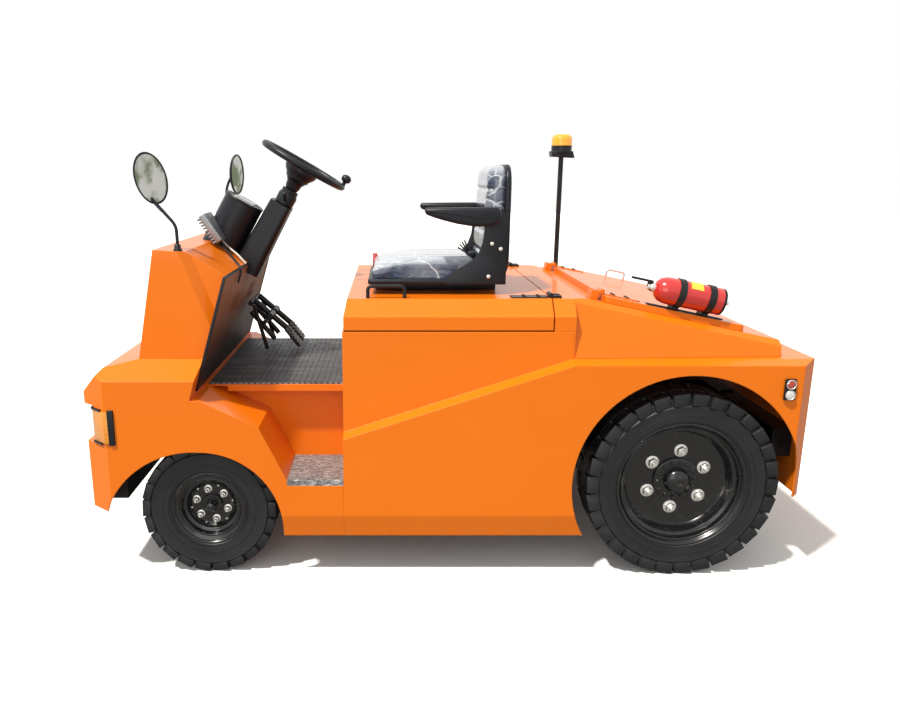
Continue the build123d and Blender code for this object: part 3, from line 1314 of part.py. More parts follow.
# U handles: name, foot plane, span, height and bar radius
HANDLES = (
    ("lid_handle", Plane.XY.move(Location((LID_HANDLE_X, TOP_HALF_WIDTH - LID_HANDLE_INSET, TOP_Z))),
     LID_HANDLE_SPAN, LID_HANDLE_H, LID_HANDLE_R),
    ("hood_handle", on_hood(HOOD_FRONT_X - HOOD_HANDLE_BACK, HOOD_HANDLE_INSET - HOOD_HALF_WIDTH),
     HOOD_HANDLE_SPAN, HOOD_HANDLE_H, HOOD_HANDLE_R),
)
for name, foot, span, height, bar in HANDLES:
    upright = Plane(origin=foot.origin, x_dir=foot.x_dir, z_dir=(0, -1, 0))
    with BuildPart() as handle:
        with BuildLine(upright) as handle_path:
            FilletPolyline((-span / 2, 0), (-span / 2, height), (span / 2, height), (span / 2, 0),
                           radius=2.2 * bar)
        with BuildSketch(Plane(origin=handle_path.line @ 0, x_dir=foot.x_dir, z_dir=foot.z_dir)):
            Circle(bar)
        sweep()
    handle.part.label = name
    export_step(handle.part, f"parts/{name}.step")

# Fire extinguisher lying along the hood's left edge, held by two strap clamps
with BuildPart() as extinguisher:
    side_plane = Plane(origin=on_hood(BOTTLE_X, BOTTLE_Y).origin, x_dir=HOOD_X_DIR, z_dir=(0, -1, 0))
    with BuildSketch(side_plane):
        with BuildLine():
            Polyline(
                (-BOTTLE_LENGTH / 2, BOTTLE_UP),
                (-BOTTLE_LENGTH / 2, BOTTLE_UP + BOTTLE_R - 8),
                (8 - BOTTLE_LENGTH / 2, BOTTLE_UP + BOTTLE_R),
                (BOTTLE_LENGTH / 2 - BOTTLE_R, BOTTLE_UP + BOTTLE_R),
            )
            ThreePointArc(
                (BOTTLE_LENGTH / 2 - BOTTLE_R, BOTTLE_UP + BOTTLE_R),
                (BOTTLE_LENGTH / 2 - BOTTLE_R * 0.4, BOTTLE_UP + BOTTLE_R * 0.8),
                (BOTTLE_LENGTH / 2, BOTTLE_UP + BOTTLE_NECK_R),
            )
            Polyline(
                (BOTTLE_LENGTH / 2, BOTTLE_UP + BOTTLE_NECK_R),
                (BOTTLE_LENGTH / 2 + BOTTLE_NECK, BOTTLE_UP + BOTTLE_NECK_R),
                (BOTTLE_LENGTH / 2 + BOTTLE_NECK, BOTTLE_UP),
                (-BOTTLE_LENGTH / 2, BOTTLE_UP),
            )
        make_face()
    axis_origin = on_hood(BOTTLE_X, BOTTLE_Y, BOTTLE_UP).origin
    revolve(axis=Axis(axis_origin, HOOD_X_DIR))
    # Valve lever over the neck
    with BuildSketch(side_plane):
        with BuildLine():
            Polyline(
                (BOTTLE_LENGTH / 2 + BOTTLE_NECK - 26, BOTTLE_UP),
                (BOTTLE_LENGTH / 2 + BOTTLE_NECK + 6, BOTTLE_UP),
                (BOTTLE_LENGTH / 2 + BOTTLE_NECK + 6, BOTTLE_UP + 34),
                (BOTTLE_LENGTH / 2 + BOTTLE_NECK - 70, BOTTLE_UP + 62),
                (BOTTLE_LENGTH / 2 + BOTTLE_NECK - 74, BOTTLE_UP + 54),
                (BOTTLE_LENGTH / 2 + BOTTLE_NECK - 26, BOTTLE_UP + 26),
                close=True,
            )
        make_face()
    extrude(amount=8, both=True)
extinguisher.part.label = "extinguisher"
export_step(extinguisher.part, "parts/extinguisher.step")

with BuildPart() as extinguisher_clamps:
    for x in BOTTLE_CLAMPS:
        clamp_plane = Plane(
            origin=on_hood(BOTTLE_X + x, BOTTLE_Y).origin,
            x_dir=(0, 1, 0),
            z_dir=HOOD_X_DIR,
        )
        with BuildSketch(clamp_plane):
            with Locations((0, BOTTLE_UP)):
                Circle(BOTTLE_R + SEAT_GAP + STRAP_T)
            with Locations((BOTTLE_FOOT_SHIFT, 0)):
                Rectangle(BOTTLE_FOOT_W, BOTTLE_UP - BOTTLE_R / 2, align=(Align.CENTER, Align.MIN))
            with Locations((0, BOTTLE_UP)):
                Circle(BOTTLE_R + SEAT_GAP, mode=Mode.SUBTRACT)
        extrude(amount=STRAP_W / 2, both=True)
extinguisher_clamps.part.label = "extinguisher_clamps"
export_step(extinguisher_clamps.part, "parts/extinguisher_clamps.step")

# Seat: rails and pan on the lid, side plates, cushion, backrest and armrests
PAN_Z = TOP_Z + SEAT_RAIL_H
CUSHION_Z = PAN_Z + SEAT_PAN_H
with BuildPart() as seat_base:
    with BuildSketch(Plane.XY.offset(TOP_Z)):
        for y in (SEAT_Y + SEAT_RAIL_Y, SEAT_Y - SEAT_RAIL_Y):
            with Locations(((SEAT_FRONT_X + SEAT_REAR_X) / 2, y)):
                Rectangle(SEAT_FRONT_X - SEAT_REAR_X - 60, SEAT_RAIL_W)
    extrude(amount=SEAT_RAIL_H)
    with BuildSketch(Plane.XY.offset(PAN_Z)):
        with Locations(((SEAT_FRONT_X + SEAT_REAR_X) / 2, SEAT_Y)):
            Rectangle(SEAT_FRONT_X - SEAT_REAR_X, 2 * (SEAT_HALF_WIDTH + SEAT_GAP))
    extrude(amount=SEAT_PAN_H)
    # Side plates welded to the pan, rising to the armrests
    for side in (1, -1):
        with BuildSketch(across(SEAT_Y + side * (SEAT_HALF_WIDTH + SEAT_GAP))):
            with BuildLine():
                Polyline(
                    (SEAT_REAR_X, PAN_Z),
                    (SEAT_REAR_X + PLATE_FOOT, PAN_Z),
                    (SEAT_REAR_X + PLATE_FOOT, CUSHION_Z),
                    (SEAT_REAR_X + PLATE_WAIST, CUSHION_Z + PLATE_STEP),
                    (SEAT_REAR_X + PLATE_NECK, ARMREST_Z + PLATE_OVER_ARM),
                    (SEAT_REAR_X, ARMREST_Z + PLATE_OVER_ARM),
                    close=True,
                )
            make_face()
        extrude(amount=-side * SHEET)
seat_base.part.label = "seat_base"
export_step(seat_base.part, "parts/seat_base.step")

with BuildPart() as seat_cushion:
    with BuildSketch(Plane.XY.offset(CUSHION_Z + SEAT_GAP)):
        with Locations((SEAT_FRONT_X, SEAT_Y)):
            Rectangle(SEAT_FRONT_X - BACK_FRONT_X - SEAT_GAP, 2 * SEAT_HALF_WIDTH,
                      align=(Align.MAX, Align.CENTER))
    extrude(amount=CUSHION_TOP_Z - CUSHION_Z - SEAT_GAP)
    fillet(edges().group_by(Axis.Z)[-1], CUSHION_ROUND)
seat_cushion.part.label = "seat_cushion"
export_step(seat_cushion.part, "parts/seat_cushion.step")

with BuildPart() as seat_backrest:
    with BuildSketch(across(SEAT_Y + SEAT_HALF_WIDTH)):
        with BuildLine():
            Polyline(
                (BACK_FRONT_X, CUSHION_Z + SEAT_GAP),
                (BACK_FRONT_X - BACK_LEAN, BACK_TOP_Z),
                (BACK_FRONT_X - BACK_LEAN - BACK_THICKNESS * 0.7, BACK_TOP_Z),
                (BACK_FRONT_X - BACK_THICKNESS, CUSHION_Z + SEAT_GAP),
                close=True,
            )
        make_face()
    extrude(amount=2 * SEAT_HALF_WIDTH)
    fillet(edges().filter_by(Axis.X, tolerance=8).group_by(Axis.Z)[-1], BACK_CORNER)
    fillet(edges().filter_by(Axis.Y).group_by(Axis.Z)[-1], CUSHION_ROUND)
seat_backrest.part.label = "seat_backrest"
export_step(seat_backrest.part, "parts/seat_backrest.step")

for name, side in (("left", 1), ("right", -1)):
    plate_y = SEAT_Y + side * SEAT_HALF_WIDTH
    with BuildPart() as armrest:
        with BuildSketch(across(plate_y + side * (SHEET + 2 * SEAT_GAP))):
            with Locations((SEAT_REAR_X + ARM_PIVOT_IN, ARMREST_Z)):
                SlotOverall(ARMREST_LENGTH, ARMREST_H, align=(Align.MIN, Align.CENTER))
        extrude(amount=-side * ARMREST_W)
    armrest.part.label = f"armrest_{name}"
    export_step(armrest.part, f"parts/armrest_{name}.step")

# Mirrors on stalks at both sides of the cowl's top
MIRROR_FACE = (-0.8, 0.55, -0.2)
for name, side in (("left", 1), ("right", -1)):
    y = side * MIRROR_Y
    head = Plane(origin=(MIRROR_HEAD_X, y, MIRROR_HEAD_Z), x_dir=(0.55, 0.8, 0), z_dir=MIRROR_FACE)
    stalk_foot = Vector(MIRROR_FOOT_X, y, COWL_TOP_REAR_Z)
    stalk_top = head.origin + head.y_dir * (MIRROR_H - MIRROR_T) / 2
    with BuildPart() as mirror_housing:
        with BuildSketch(Plane.XY.offset(COWL_TOP_REAR_Z - 10)):
            with Locations((MIRROR_FOOT_X, y)):
                Rectangle(2 * MIRROR_FOOT, 2 * MIRROR_FOOT)
        extrude(amount=24)
        with BuildSketch(Plane(origin=stalk_foot, z_dir=stalk_top - stalk_foot)):
            Circle(MIRROR_STALK_R)
        extrude(amount=(stalk_top - stalk_foot).length)
        with BuildSketch(head):
            RectangleRounded(MIRROR_W, MIRROR_H, MIRROR_W / 2.2)
        extrude(amount=MIRROR_T, both=True)
        add(cowl_form.part, mode=Mode.SUBTRACT)
    mirror_housing.part.label = f"mirror_{name}"
    export_step(mirror_housing.part, f"parts/mirror_{name}.step")

    with BuildPart() as mirror_glass:
        with BuildSketch(head.offset(MIRROR_T)):
            RectangleRounded(MIRROR_W - 14, MIRROR_H - 14, MIRROR_W / 2.2 - 7)
        extrude(amount=3)
    mirror_glass.part.label = f"mirror_glass_{name}"
    export_step(mirror_glass.part, f"parts/mirror_glass_{name}.step")

# Beacon on a pole at the right edge of the deck
with BuildPart() as beacon_pole:
    with BuildSketch(Plane.XY.offset(deck_z(BEACON_X) - 2 * STRIP_DROP)):
        with Locations((BEACON_X, BEACON_Y)):
            Circle(2 * BEACON_POLE_R)
    extrude(amount=3 * STRIP_DROP)
    with BuildSketch(Plane.XY.offset(deck_z(BEACON_X) - 2 * STRIP_DROP)):
        with Locations((BEACON_X, BEACON_Y)):
            Circle(BEACON_POLE_R)
    extrude(amount=BEACON_BASE_Z - deck_z(BEACON_X) + 2 * STRIP_DROP)
    add(deck_form.part, mode=Mode.SUBTRACT)
    with BuildSketch(Plane.XY.offset(BEACON_BASE_Z)):
        with Locations((BEACON_X, BEACON_Y)):
            Circle(BEACON_LENS_R - 2)
    extrude(amount=BEACON_BASE_H)
beacon_pole.part.label = "beacon_pole"
export_step(beacon_pole.part, "parts/beacon_pole.step")

with BuildPart() as beacon_lens:
    with BuildSketch(Plane(origin=(BEACON_X, BEACON_Y, BEACON_BASE_Z + BEACON_BASE_H),
                           x_dir=(1, 0, 0), z_dir=(0, -1, 0))):
        with BuildLine():
            Polyline(
                (0, 0),
                (BEACON_LENS_R, 0),
                (BEACON_LENS_R, BEACON_LENS_H * 0.7),
                (BEACON_LENS_R * 0.86, BEACON_LENS_H * 0.9),
                (BEACON_LENS_R * 0.5, BEACON_LENS_H),
                (0, BEACON_LENS_H),
                close=True,
            )
        make_face()
    revolve(axis=Axis((BEACON_X, BEACON_Y, 0), (0, 0, 1)))
beacon_lens.part.label = "beacon_lens"
export_step(beacon_lens.part, "parts/beacon_lens.step")

# Front lamps: dark bezel in the bumper recess with an amber lens round its corner
for name, side in (("left", 1), ("right", -1)):
    corner_y = HALF_WIDTH - NOSE_CHAMFER_Y
    with BuildPart() as lamp_bezel:
        with BuildSketch(Plane.XY.offset(RECESS_BOTTOM_Z + LAMP_MARGIN)):
            with BuildLine():
                Polyline(
                    (RECESS_X, side * LAMP_INNER_Y),
                    (RECESS_X + LAMP_DEPTH, side * LAMP_INNER_Y),
                    (RECESS_X + LAMP_DEPTH, side * (corner_y - 3)),
                    (RECESS_X, side * (corner_y + 17)),
                    close=True,
                )
            make_face()
        extrude(amount=RECESS_TOP_Z - RECESS_BOTTOM_Z - 2 * LAMP_MARGIN)
    lamp_bezel.part.label = f"lamp_bezel_{name}"
    export_step(lamp_bezel.part, f"parts/lamp_bezel_{name}.step")

    with BuildPart() as lamp_lens:
        with BuildSketch(Plane.XY.offset(RECESS_BOTTOM_Z + 2 * LAMP_MARGIN)):
            with BuildLine():
                Polyline(
                    (RECESS_X + LAMP_DEPTH, side * (LAMP_INNER_Y + LAMP_MARGIN)),
                    (RECESS_X + LAMP_DEPTH + LENS_T, side * (LAMP_INNER_Y + LAMP_MARGIN)),
                    (RECESS_X + LAMP_DEPTH + LENS_T, side * corner_y),
                    (RECESS_X + 2, side * (corner_y + 32)),
                    (RECESS_X + 2, side * (corner_y + 15.2)),
                    (RECESS_X + LAMP_DEPTH, side * (corner_y - 3)),
                    close=True,
                )
            make_face()
        extrude(amount=RECESS_TOP_Z - RECESS_BOTTOM_Z - 4 * LAMP_MARGIN)
    lamp_lens.part.label = f"lamp_lens_{name}"
    export_step(lamp_lens.part, f"parts/lamp_lens_{name}.step")

    # Tail lamps on the body sides
    with BuildPart() as tail_lamp:
        with BuildSketch(across(side * HALF_WIDTH)):
            with Locations((TAIL_LAMP_X, TAIL_LAMP_Z)):
                RectangleRounded(TAIL_LAMP_W, TAIL_LAMP_H, 8)
        extrude(amount=-side * TAIL_LAMP_T)
        with BuildSketch(across(side * (HALF_WIDTH + TAIL_LAMP_T))):
            with Locations((TAIL_LAMP_X, TAIL_LAMP_Z)):
                with GridLocations(1, TAIL_LAMP_H / 2, 1, 2):
                    Circle(TAIL_LAMP_W / 2 - 6)
        extrude(amount=-side * 5)
    tail_lamp.part.label = f"tail_lamp_{name}"
    export_step(tail_lamp.part, f"parts/tail_lamp_{name}.step")

# Tow gear: jaw behind the bumper with an empty pin bore, and the rear coupling with its lifting pin
with BuildPart() as front_jaw:
    with BuildSketch(across(JAW_HALF_WIDTH)):
        with BuildLine():
            Polyline(
                (RAIL_FRONT_X, JAW_BOTTOM_Z),
                (NOSE_X, JAW_BOTTOM_Z),
                (NOSE_X, JAW_MID_Z - JAW_MOUTH / 2),
                (NOSE_X - JAW_REACH, JAW_MID_Z - JAW_MOUTH / 2),
                (NOSE_X - JAW_REACH, JAW_MID_Z + JAW_MOUTH / 2),
                (NOSE_X, JAW_MID_Z + JAW_MOUTH / 2),
                (NOSE_X, JAW_TOP_Z),
                (RAIL_FRONT_X, JAW_TOP_Z),
                close=True,
            )
        make_face()
    extrude(amount=2 * JAW_HALF_WIDTH)
    with Locations((JAW_BORE_X, 0, JAW_TOP_Z)):
        Hole(JAW_PIN_R, JAW_TOP_Z - JAW_BOTTOM_Z)
front_jaw.part.label = "front_jaw"
export_step(front_jaw.part, "parts/front_jaw.step")

with BuildPart() as rear_coupling:
    with BuildSketch(across(COUPLING_HALF_WIDTH)):
        with BuildLine():
            Polyline(
                (TAIL_X + COUPLING_DEPTH, COUPLING_BOTTOM_Z),
                (TAIL_X, COUPLING_BOTTOM_Z),
                (TAIL_X, COUPLING_MID_Z - JAW_MOUTH / 2),
                (TAIL_X + COUPLING_REACH, COUPLING_MID_Z - JAW_MOUTH / 2),
                (TAIL_X + COUPLING_REACH, COUPLING_MID_Z + JAW_MOUTH / 2),
                (TAIL_X, COUPLING_MID_Z + JAW_MOUTH / 2),
                (TAIL_X, RAIL_BOTTOM_Z - MOVING_GAP),
                (TAIL_X + SHEET, RAIL_BOTTOM_Z),
                (TAIL_X + COUPLING_DEPTH, RAIL_BOTTOM_Z),
                close=True,
            )
        make_face()
    extrude(amount=2 * COUPLING_HALF_WIDTH)
    with Locations((TOW_PIN_X, 0, RAIL_BOTTOM_Z)):
        Hole(TOW_PIN_R + TOW_PIN_GAP, RAIL_BOTTOM_Z - COUPLING_BOTTOM_Z)
rear_coupling.part.label = "rear_coupling"
export_step(rear_coupling.part, "parts/rear_coupling.step")

with BuildPart() as tow_pin:
    with BuildSketch(Plane.XY.offset(COUPLING_BOTTOM_Z)):
        with Locations((TOW_PIN_X, 0)):
            Circle(TOW_PIN_R)
    extrude(amount=RAIL_BOTTOM_Z - COUPLING_BOTTOM_Z + SEAT_GAP)
    with BuildSketch(Plane.XY.offset(RAIL_BOTTOM_Z + SEAT_GAP)):
        with Locations((TOW_PIN_X, 0)):
            Circle(TOW_PIN_R + 7)
    extrude(amount=12)
tow_pin.part.label = "tow_pin"
export_step(tow_pin.part, "parts/tow_pin.step")
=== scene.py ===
# %% [markdown]
# A baggage tug for airports: a low welded body, a driver's seat on a lifting battery lid, four solid
# tyres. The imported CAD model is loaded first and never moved. Each new piece is drawn in metres in
# the same frame: +X is the nose, +Y the driver's left, +Z up.

# %% Load the frame
from math import cos, pi, radians, sin, tau

import bmesh
import bpy
from mathutils import Matrix, Vector


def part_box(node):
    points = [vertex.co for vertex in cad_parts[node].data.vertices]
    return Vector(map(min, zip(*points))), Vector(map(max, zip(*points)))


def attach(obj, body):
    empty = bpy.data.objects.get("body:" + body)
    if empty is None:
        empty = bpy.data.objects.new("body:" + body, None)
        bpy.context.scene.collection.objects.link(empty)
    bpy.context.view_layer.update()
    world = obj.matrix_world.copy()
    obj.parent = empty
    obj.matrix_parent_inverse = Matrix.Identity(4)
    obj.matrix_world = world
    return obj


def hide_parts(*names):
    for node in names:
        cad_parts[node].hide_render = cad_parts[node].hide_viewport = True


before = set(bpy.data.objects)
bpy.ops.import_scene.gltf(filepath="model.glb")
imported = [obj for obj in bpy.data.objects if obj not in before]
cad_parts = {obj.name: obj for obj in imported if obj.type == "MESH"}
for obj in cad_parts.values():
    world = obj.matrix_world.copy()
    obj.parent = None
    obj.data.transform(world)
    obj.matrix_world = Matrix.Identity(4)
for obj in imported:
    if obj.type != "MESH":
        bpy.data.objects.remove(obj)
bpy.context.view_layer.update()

# %% [markdown]
# The camera stands where the photographer stood, a little above the steering wheel and left of the
# tug. The shift moves the picture as the photograph was cropped, without turning the camera.

# %% Camera
eye = bpy.data.cameras.new("eye")
eye.lens = 33.0
eye.sensor_width = 36.0
eye.shift_x = 0.0656
eye.shift_y = 0.0422
camera = bpy.data.objects.new("camera", eye)
camera.location = (0.210, 3.700, 1.564)
camera.rotation_euler = (radians(75), 0, radians(180))
bpy.context.scene.collection.objects.link(camera)
bpy.context.scene.camera = camera
bpy.context.scene.view_settings.view_transform = "Standard"
print("camera at", tuple(camera.location), "with a lens of", eye.lens, "mm")


# %% [markdown]
# Shader maths reads best as plain sums. A Wire wraps one output socket, so that adding or multiplying
# it adds a Math node. A Finish is one material. Its patterns start from Object coordinates, so that they
# keep their size in metres on every piece, small or large.

# %% Wires and finishes
class Wire:
    """One output of a shader node. Plus, minus and times add Math nodes, with a number on either side."""

    def __init__(self, tree, socket):
        self.tree = tree
        self.socket = socket

    def math(self, operation, first, second):
        return add_node(self.tree, "ShaderNodeMath", {0: first, 1: second}, operation=operation)

    def __add__(self, other):
        return self.math("ADD", self, other)

    def __sub__(self, other):
        return self.math("SUBTRACT", self, other)

    def __rsub__(self, other):
        return self.math("SUBTRACT", other, self)

    def __mul__(self, other):
        return self.math("MULTIPLY", self, other)

    __radd__ = __add__
    __rmul__ = __mul__

    def at_most(self, limit):
        return self.math("MINIMUM", self, limit)

    def clipped(self):
        return self.math("MAXIMUM", self.at_most(1.0), 0.0)


def connect(tree, socket, value):
    """Link a wire to a socket, or set a plain value on it."""
    if isinstance(value, Wire):
        tree.links.new(value.socket, socket)
    elif socket.type == "RGBA":
        socket.default_value = (*value, 1.0)
    else:
        socket.default_value = value


def add_node(tree, kind, values=None, out=0, **settings):
    """Add a node, set it up, and hand back one of its outputs."""
    node = tree.nodes.new(kind)
    for name, value in settings.items():
        setattr(node, name, value)
    for name, value in (values or {}).items():
        connect(tree, node.inputs[name], value)
    return Wire(tree, node.outputs[out])


class Finish:
    """One material and its shader."""

    def __init__(self, name):
        self.material = bpy.data.materials.new(name)
        self.material.use_nodes = True
        self.tree = self.material.node_tree
        self.shader = self.tree.nodes["Principled BSDF"]

    def node(self, kind, values=None, out=0, **settings):
        return add_node(self.tree, kind, values, out, **settings)

    def place(self, stretch=(1, 1, 1)):
        """Object coordinates, stretched along the three axes."""
        spot = self.node("ShaderNodeTexCoord", out=3)
        return self.node("ShaderNodeMapping", {"Vector": spot, "Scale": stretch})

    def height(self):
        """Height over the ground in metres."""
        return self.node("ShaderNodeSeparateXYZ", {"Vector": self.place()}, out=2)

    def noise(self, scale, detail=4.0, stretch=(1, 1, 1), rough=0.5):
        return self.node("ShaderNodeTexNoise", {"Vector": self.place(stretch), "Scale": scale,
                                                "Detail": detail, "Roughness": rough})

    def band(self, wire, low, high):
        """0 below low, 1 above high, smooth between them."""
        return self.node("ShaderNodeMapRange", {"Value": wire, "From Min": low, "From Max": high},
                         interpolation_type="SMOOTHSTEP")

    def mix(self, share, first, second):
        return self.node("ShaderNodeMix", {0: share, 6: first, 7: second}, out=2, data_type="RGBA")

    def bump(self, height, distance, strength=1.0, under=None):
        under = {"Normal": under} if under else {}
        return self.node("ShaderNodeBump", {"Height": height, "Distance": distance, "Strength": strength,
                                            **under})

    def rounded(self, radius):
        """A normal that softens sharp folds, as paint over a folded edge does."""
        return self.node("ShaderNodeBevel", {"Radius": radius}, samples=6)

    def set(self, **values):
        for name, value in values.items():
            connect(self.tree, self.shader.inputs[name.replace("_", " ")], value)
        return self.material


print("shader helpers are ready")

# %% [markdown]
# The body is gloss orange paint on folded sheet. What tells paint from plastic is the clear coat, the
# orange peel in its reflections, soft highlights along the folds, and road dust low on the skirts.

# %% Body paint
def body_paint():
    finish = Finish("body_paint")
    drift = finish.noise(2.2, 3.0)
    orange = finish.mix(drift, (0.76, 0.163, 0.0025), (0.83, 0.186, 0.0032))
    speckle = finish.band(finish.noise(34.0, 8.0, rough=0.75), 0.46, 0.80)
    low = 1.0 - finish.band(finish.height(), 0.16, 0.40)
    dust = (low * speckle * 0.22).clipped()
    peel = finish.bump(finish.noise(420.0, 2.0), 0.0004, 0.08, finish.rounded(0.005))
    return finish.set(Base_Color=finish.mix(dust, orange, (0.42, 0.20, 0.08)),
                      Roughness=finish.noise(9.0, 3.0) * 0.06 + 0.30 + dust * 0.4,
                      Specular_IOR_Level=0.20, Coat_Weight=0.28 - dust * 0.25, Coat_Roughness=0.06,
                      Normal=peel)


def kick_paint():
    """Dark gloss, darkest at its foot, turning towards the top into a painted copper reflection of the orange.
    """
    finish = Finish("kick_paint")
    copper_reflection_share = finish.band(finish.height(), 0.78, 1.16)
    cloud = finish.noise(5.0, 4.0)
    # painted reflection: the colour goes from dark gloss to copper with height, as the panel mirrors the orange
    tone = finish.mix(copper_reflection_share, (0.012, 0.013, 0.017), (0.26, 0.105, 0.036))
    return finish.set(Base_Color=tone, Roughness=cloud * 0.16 + 0.42, Specular_IOR_Level=0.22,
                      Normal=finish.bump(finish.noise(300.0, 2.0), 0.0004, 0.1, finish.rounded(0.003)))


PAINT = body_paint()
KICK = kick_paint()
print("made", PAINT.name, "and", KICK.name)

# %% [markdown]
# Under the body and on the small ironwork the paint is satin black, thinner, and dusty in paler patches.

# %% Black paint and plastic
def black_paint(name, colour, roughness, grain=300.0):
    finish = Finish(name)
    patches = finish.band(finish.noise(14.0, 6.0, rough=0.65), 0.42, 0.75)
    grit = finish.bump(finish.noise(grain, 3.0), 0.0006, 0.25, finish.rounded(0.002))
    paler = tuple(0.9 * part + 0.012 for part in colour)
    return finish.set(Base_Color=finish.mix(patches, colour, paler),
                      Roughness=patches * 0.16 + roughness, Specular_IOR_Level=0.32, Normal=grit)


def moulded_black():
    finish = Finish("moulded_black")
    cells = finish.node("ShaderNodeTexVoronoi", {"Vector": finish.place(), "Scale": 620.0})
    shine = finish.noise(11.0, 4.0)
    leather = finish.bump(cells, 0.0004, 0.35, finish.rounded(0.002))
    return finish.set(Base_Color=finish.mix(shine, (0.004, 0.005, 0.008), (0.010, 0.011, 0.016)),
                      Roughness=shine * 0.15 + 0.30, Specular_IOR_Level=0.32, Normal=leather)


CHASSIS = black_paint("chassis_black", (0.007, 0.007, 0.008), 0.36)
BATTERY = black_paint("battery_case", (0.03, 0.033, 0.036), 0.5, 180.0)
PLASTIC = moulded_black()
print("made", CHASSIS.name, BATTERY.name, "and", PLASTIC.name)

# %% [markdown]
# Solid rubber tyres are nearly black, with a dry grey bloom and dust that stays in the grain low down.
# The mat has rows of short raised bars: a brick pattern gives them, as bumps and as tops with painted pale
# highlights in patches.

# %% Rubber
def tyre_rubber():
    finish = Finish("tyre_rubber")
    bloom = finish.band(finish.noise(7.0, 5.0), 0.35, 0.75)
    grain = finish.noise(180.0, 6.0, rough=0.7)
    dust = finish.band(finish.noise(38.0, 8.0, rough=0.75), 0.55, 0.80)
    low = 1.0 - finish.band(finish.height(), 0.02, 0.30)
    tone = finish.mix(bloom, (0.0045, 0.005, 0.0065), (0.011, 0.012, 0.015))
    dust_and_highlight = (dust * (low * 0.30 + 0.05)).clipped()
    return finish.set(Base_Color=finish.mix(dust_and_highlight, tone, (0.10, 0.09, 0.08)),
                      Roughness=grain * 0.2 + 0.40,
                      Normal=finish.bump(grain, 0.0012, 0.35))


def mat_rubber():
    """Rows of short raised bars, with painted pale highlights in patches on their tops."""
    finish = Finish("mat_rubber")
    bars = finish.node("ShaderNodeTexBrick", {"Vector": finish.place((22.0, 22.0, 22.0)), "Scale": 1.0,
                                              "Mortar Size": 0.09, "Mortar Smooth": 0.4,
                                              "Color1": (1, 1, 1), "Color2": (0.8, 0.8, 0.8),
                                              "Mortar": (0, 0, 0)})
    grime = finish.band(finish.noise(22.0, 8.0, rough=0.7), 0.38, 0.70)
    highlight_patches = finish.band(finish.noise(7.0, 6.0, stretch=(0.5, 2.6, 1.0)), 0.42, 0.78)
    tone = finish.mix(grime, (0.018, 0.019, 0.022), (0.060, 0.060, 0.062))
    # painted highlights: pale grey on the bar tops, in patches
    dust_and_highlight = (highlight_patches * bars * 0.9).clipped()
    return finish.set(Base_Color=finish.mix(dust_and_highlight, tone, (0.42, 0.42, 0.44)),
                      Roughness=grime * 0.2 + 0.42,
                      Normal=finish.bump(bars, 0.003, 0.7))


RUBBER = tyre_rubber()
MAT = mat_rubber()
print("made", RUBBER.name, "and", MAT.name)

# %% [markdown]
# Bare metals: zinc on the nuts, cast aluminium on the controller, chrome on the hood's handle, and a
# grit-coated plate on the steps, bright with black pits.

# %% Metals
def bright_metal(name, colour, roughness, grain=140.0):
    finish = Finish(name)
    wear = finish.noise(grain, 5.0)
    return finish.set(Base_Color=finish.mix(wear, colour, tuple(part * 0.72 for part in colour)),
                      Metallic=1.0, Roughness=wear * 0.16 + roughness,
                      Normal=finish.bump(wear, 0.0003, 0.2, finish.rounded(0.001)))


def grit_plate():
    finish = Finish("grit_plate")
    lines = finish.band(finish.noise(120.0, 6.0, stretch=(0.30, 1.6, 1.0), rough=0.8), 0.40, 0.52)
    pits = finish.band(finish.noise(150.0, 5.0, rough=0.8), 0.50, 0.62)
    dark = (lines * 0.75 + pits * 0.35).clipped()
    grey = finish.mix(dark, (0.62, 0.62, 0.62), (0.030, 0.030, 0.034))
    return finish.set(Base_Color=grey, Metallic=0.2, Roughness=dark * 0.3 + 0.35,
                      Normal=finish.bump(dark, 0.003, 0.6))


def rim_paint():
    finish = Finish("rim_paint")
    grime = finish.band(finish.noise(30.0, 7.0, rough=0.7), 0.52, 0.8)
    tone = finish.mix((grime * 0.25).clipped(), (0.0045, 0.0045, 0.0055), (0.06, 0.055, 0.05))
    return finish.set(Base_Color=tone, Roughness=grime * 0.2 + 0.24, Coat_Weight=0.25,
                      Normal=finish.bump(finish.noise(240.0, 3.0), 0.0004, 0.15, finish.rounded(0.002)))


ZINC = bright_metal("zinc", (0.95, 0.94, 0.90), 0.30)
STEEL = bright_metal("pin_steel", (0.55, 0.55, 0.56), 0.30)
CHROME = bright_metal("chrome", (0.88, 0.88, 0.90), 0.06, 60.0)
CAST = bright_metal("cast_metal", (0.34, 0.36, 0.38), 0.42, 260.0)
GRIT = grit_plate()
RIM = rim_paint()
print("made", [metal.name for metal in (ZINC, STEEL, CHROME, CAST, GRIT, RIM)])
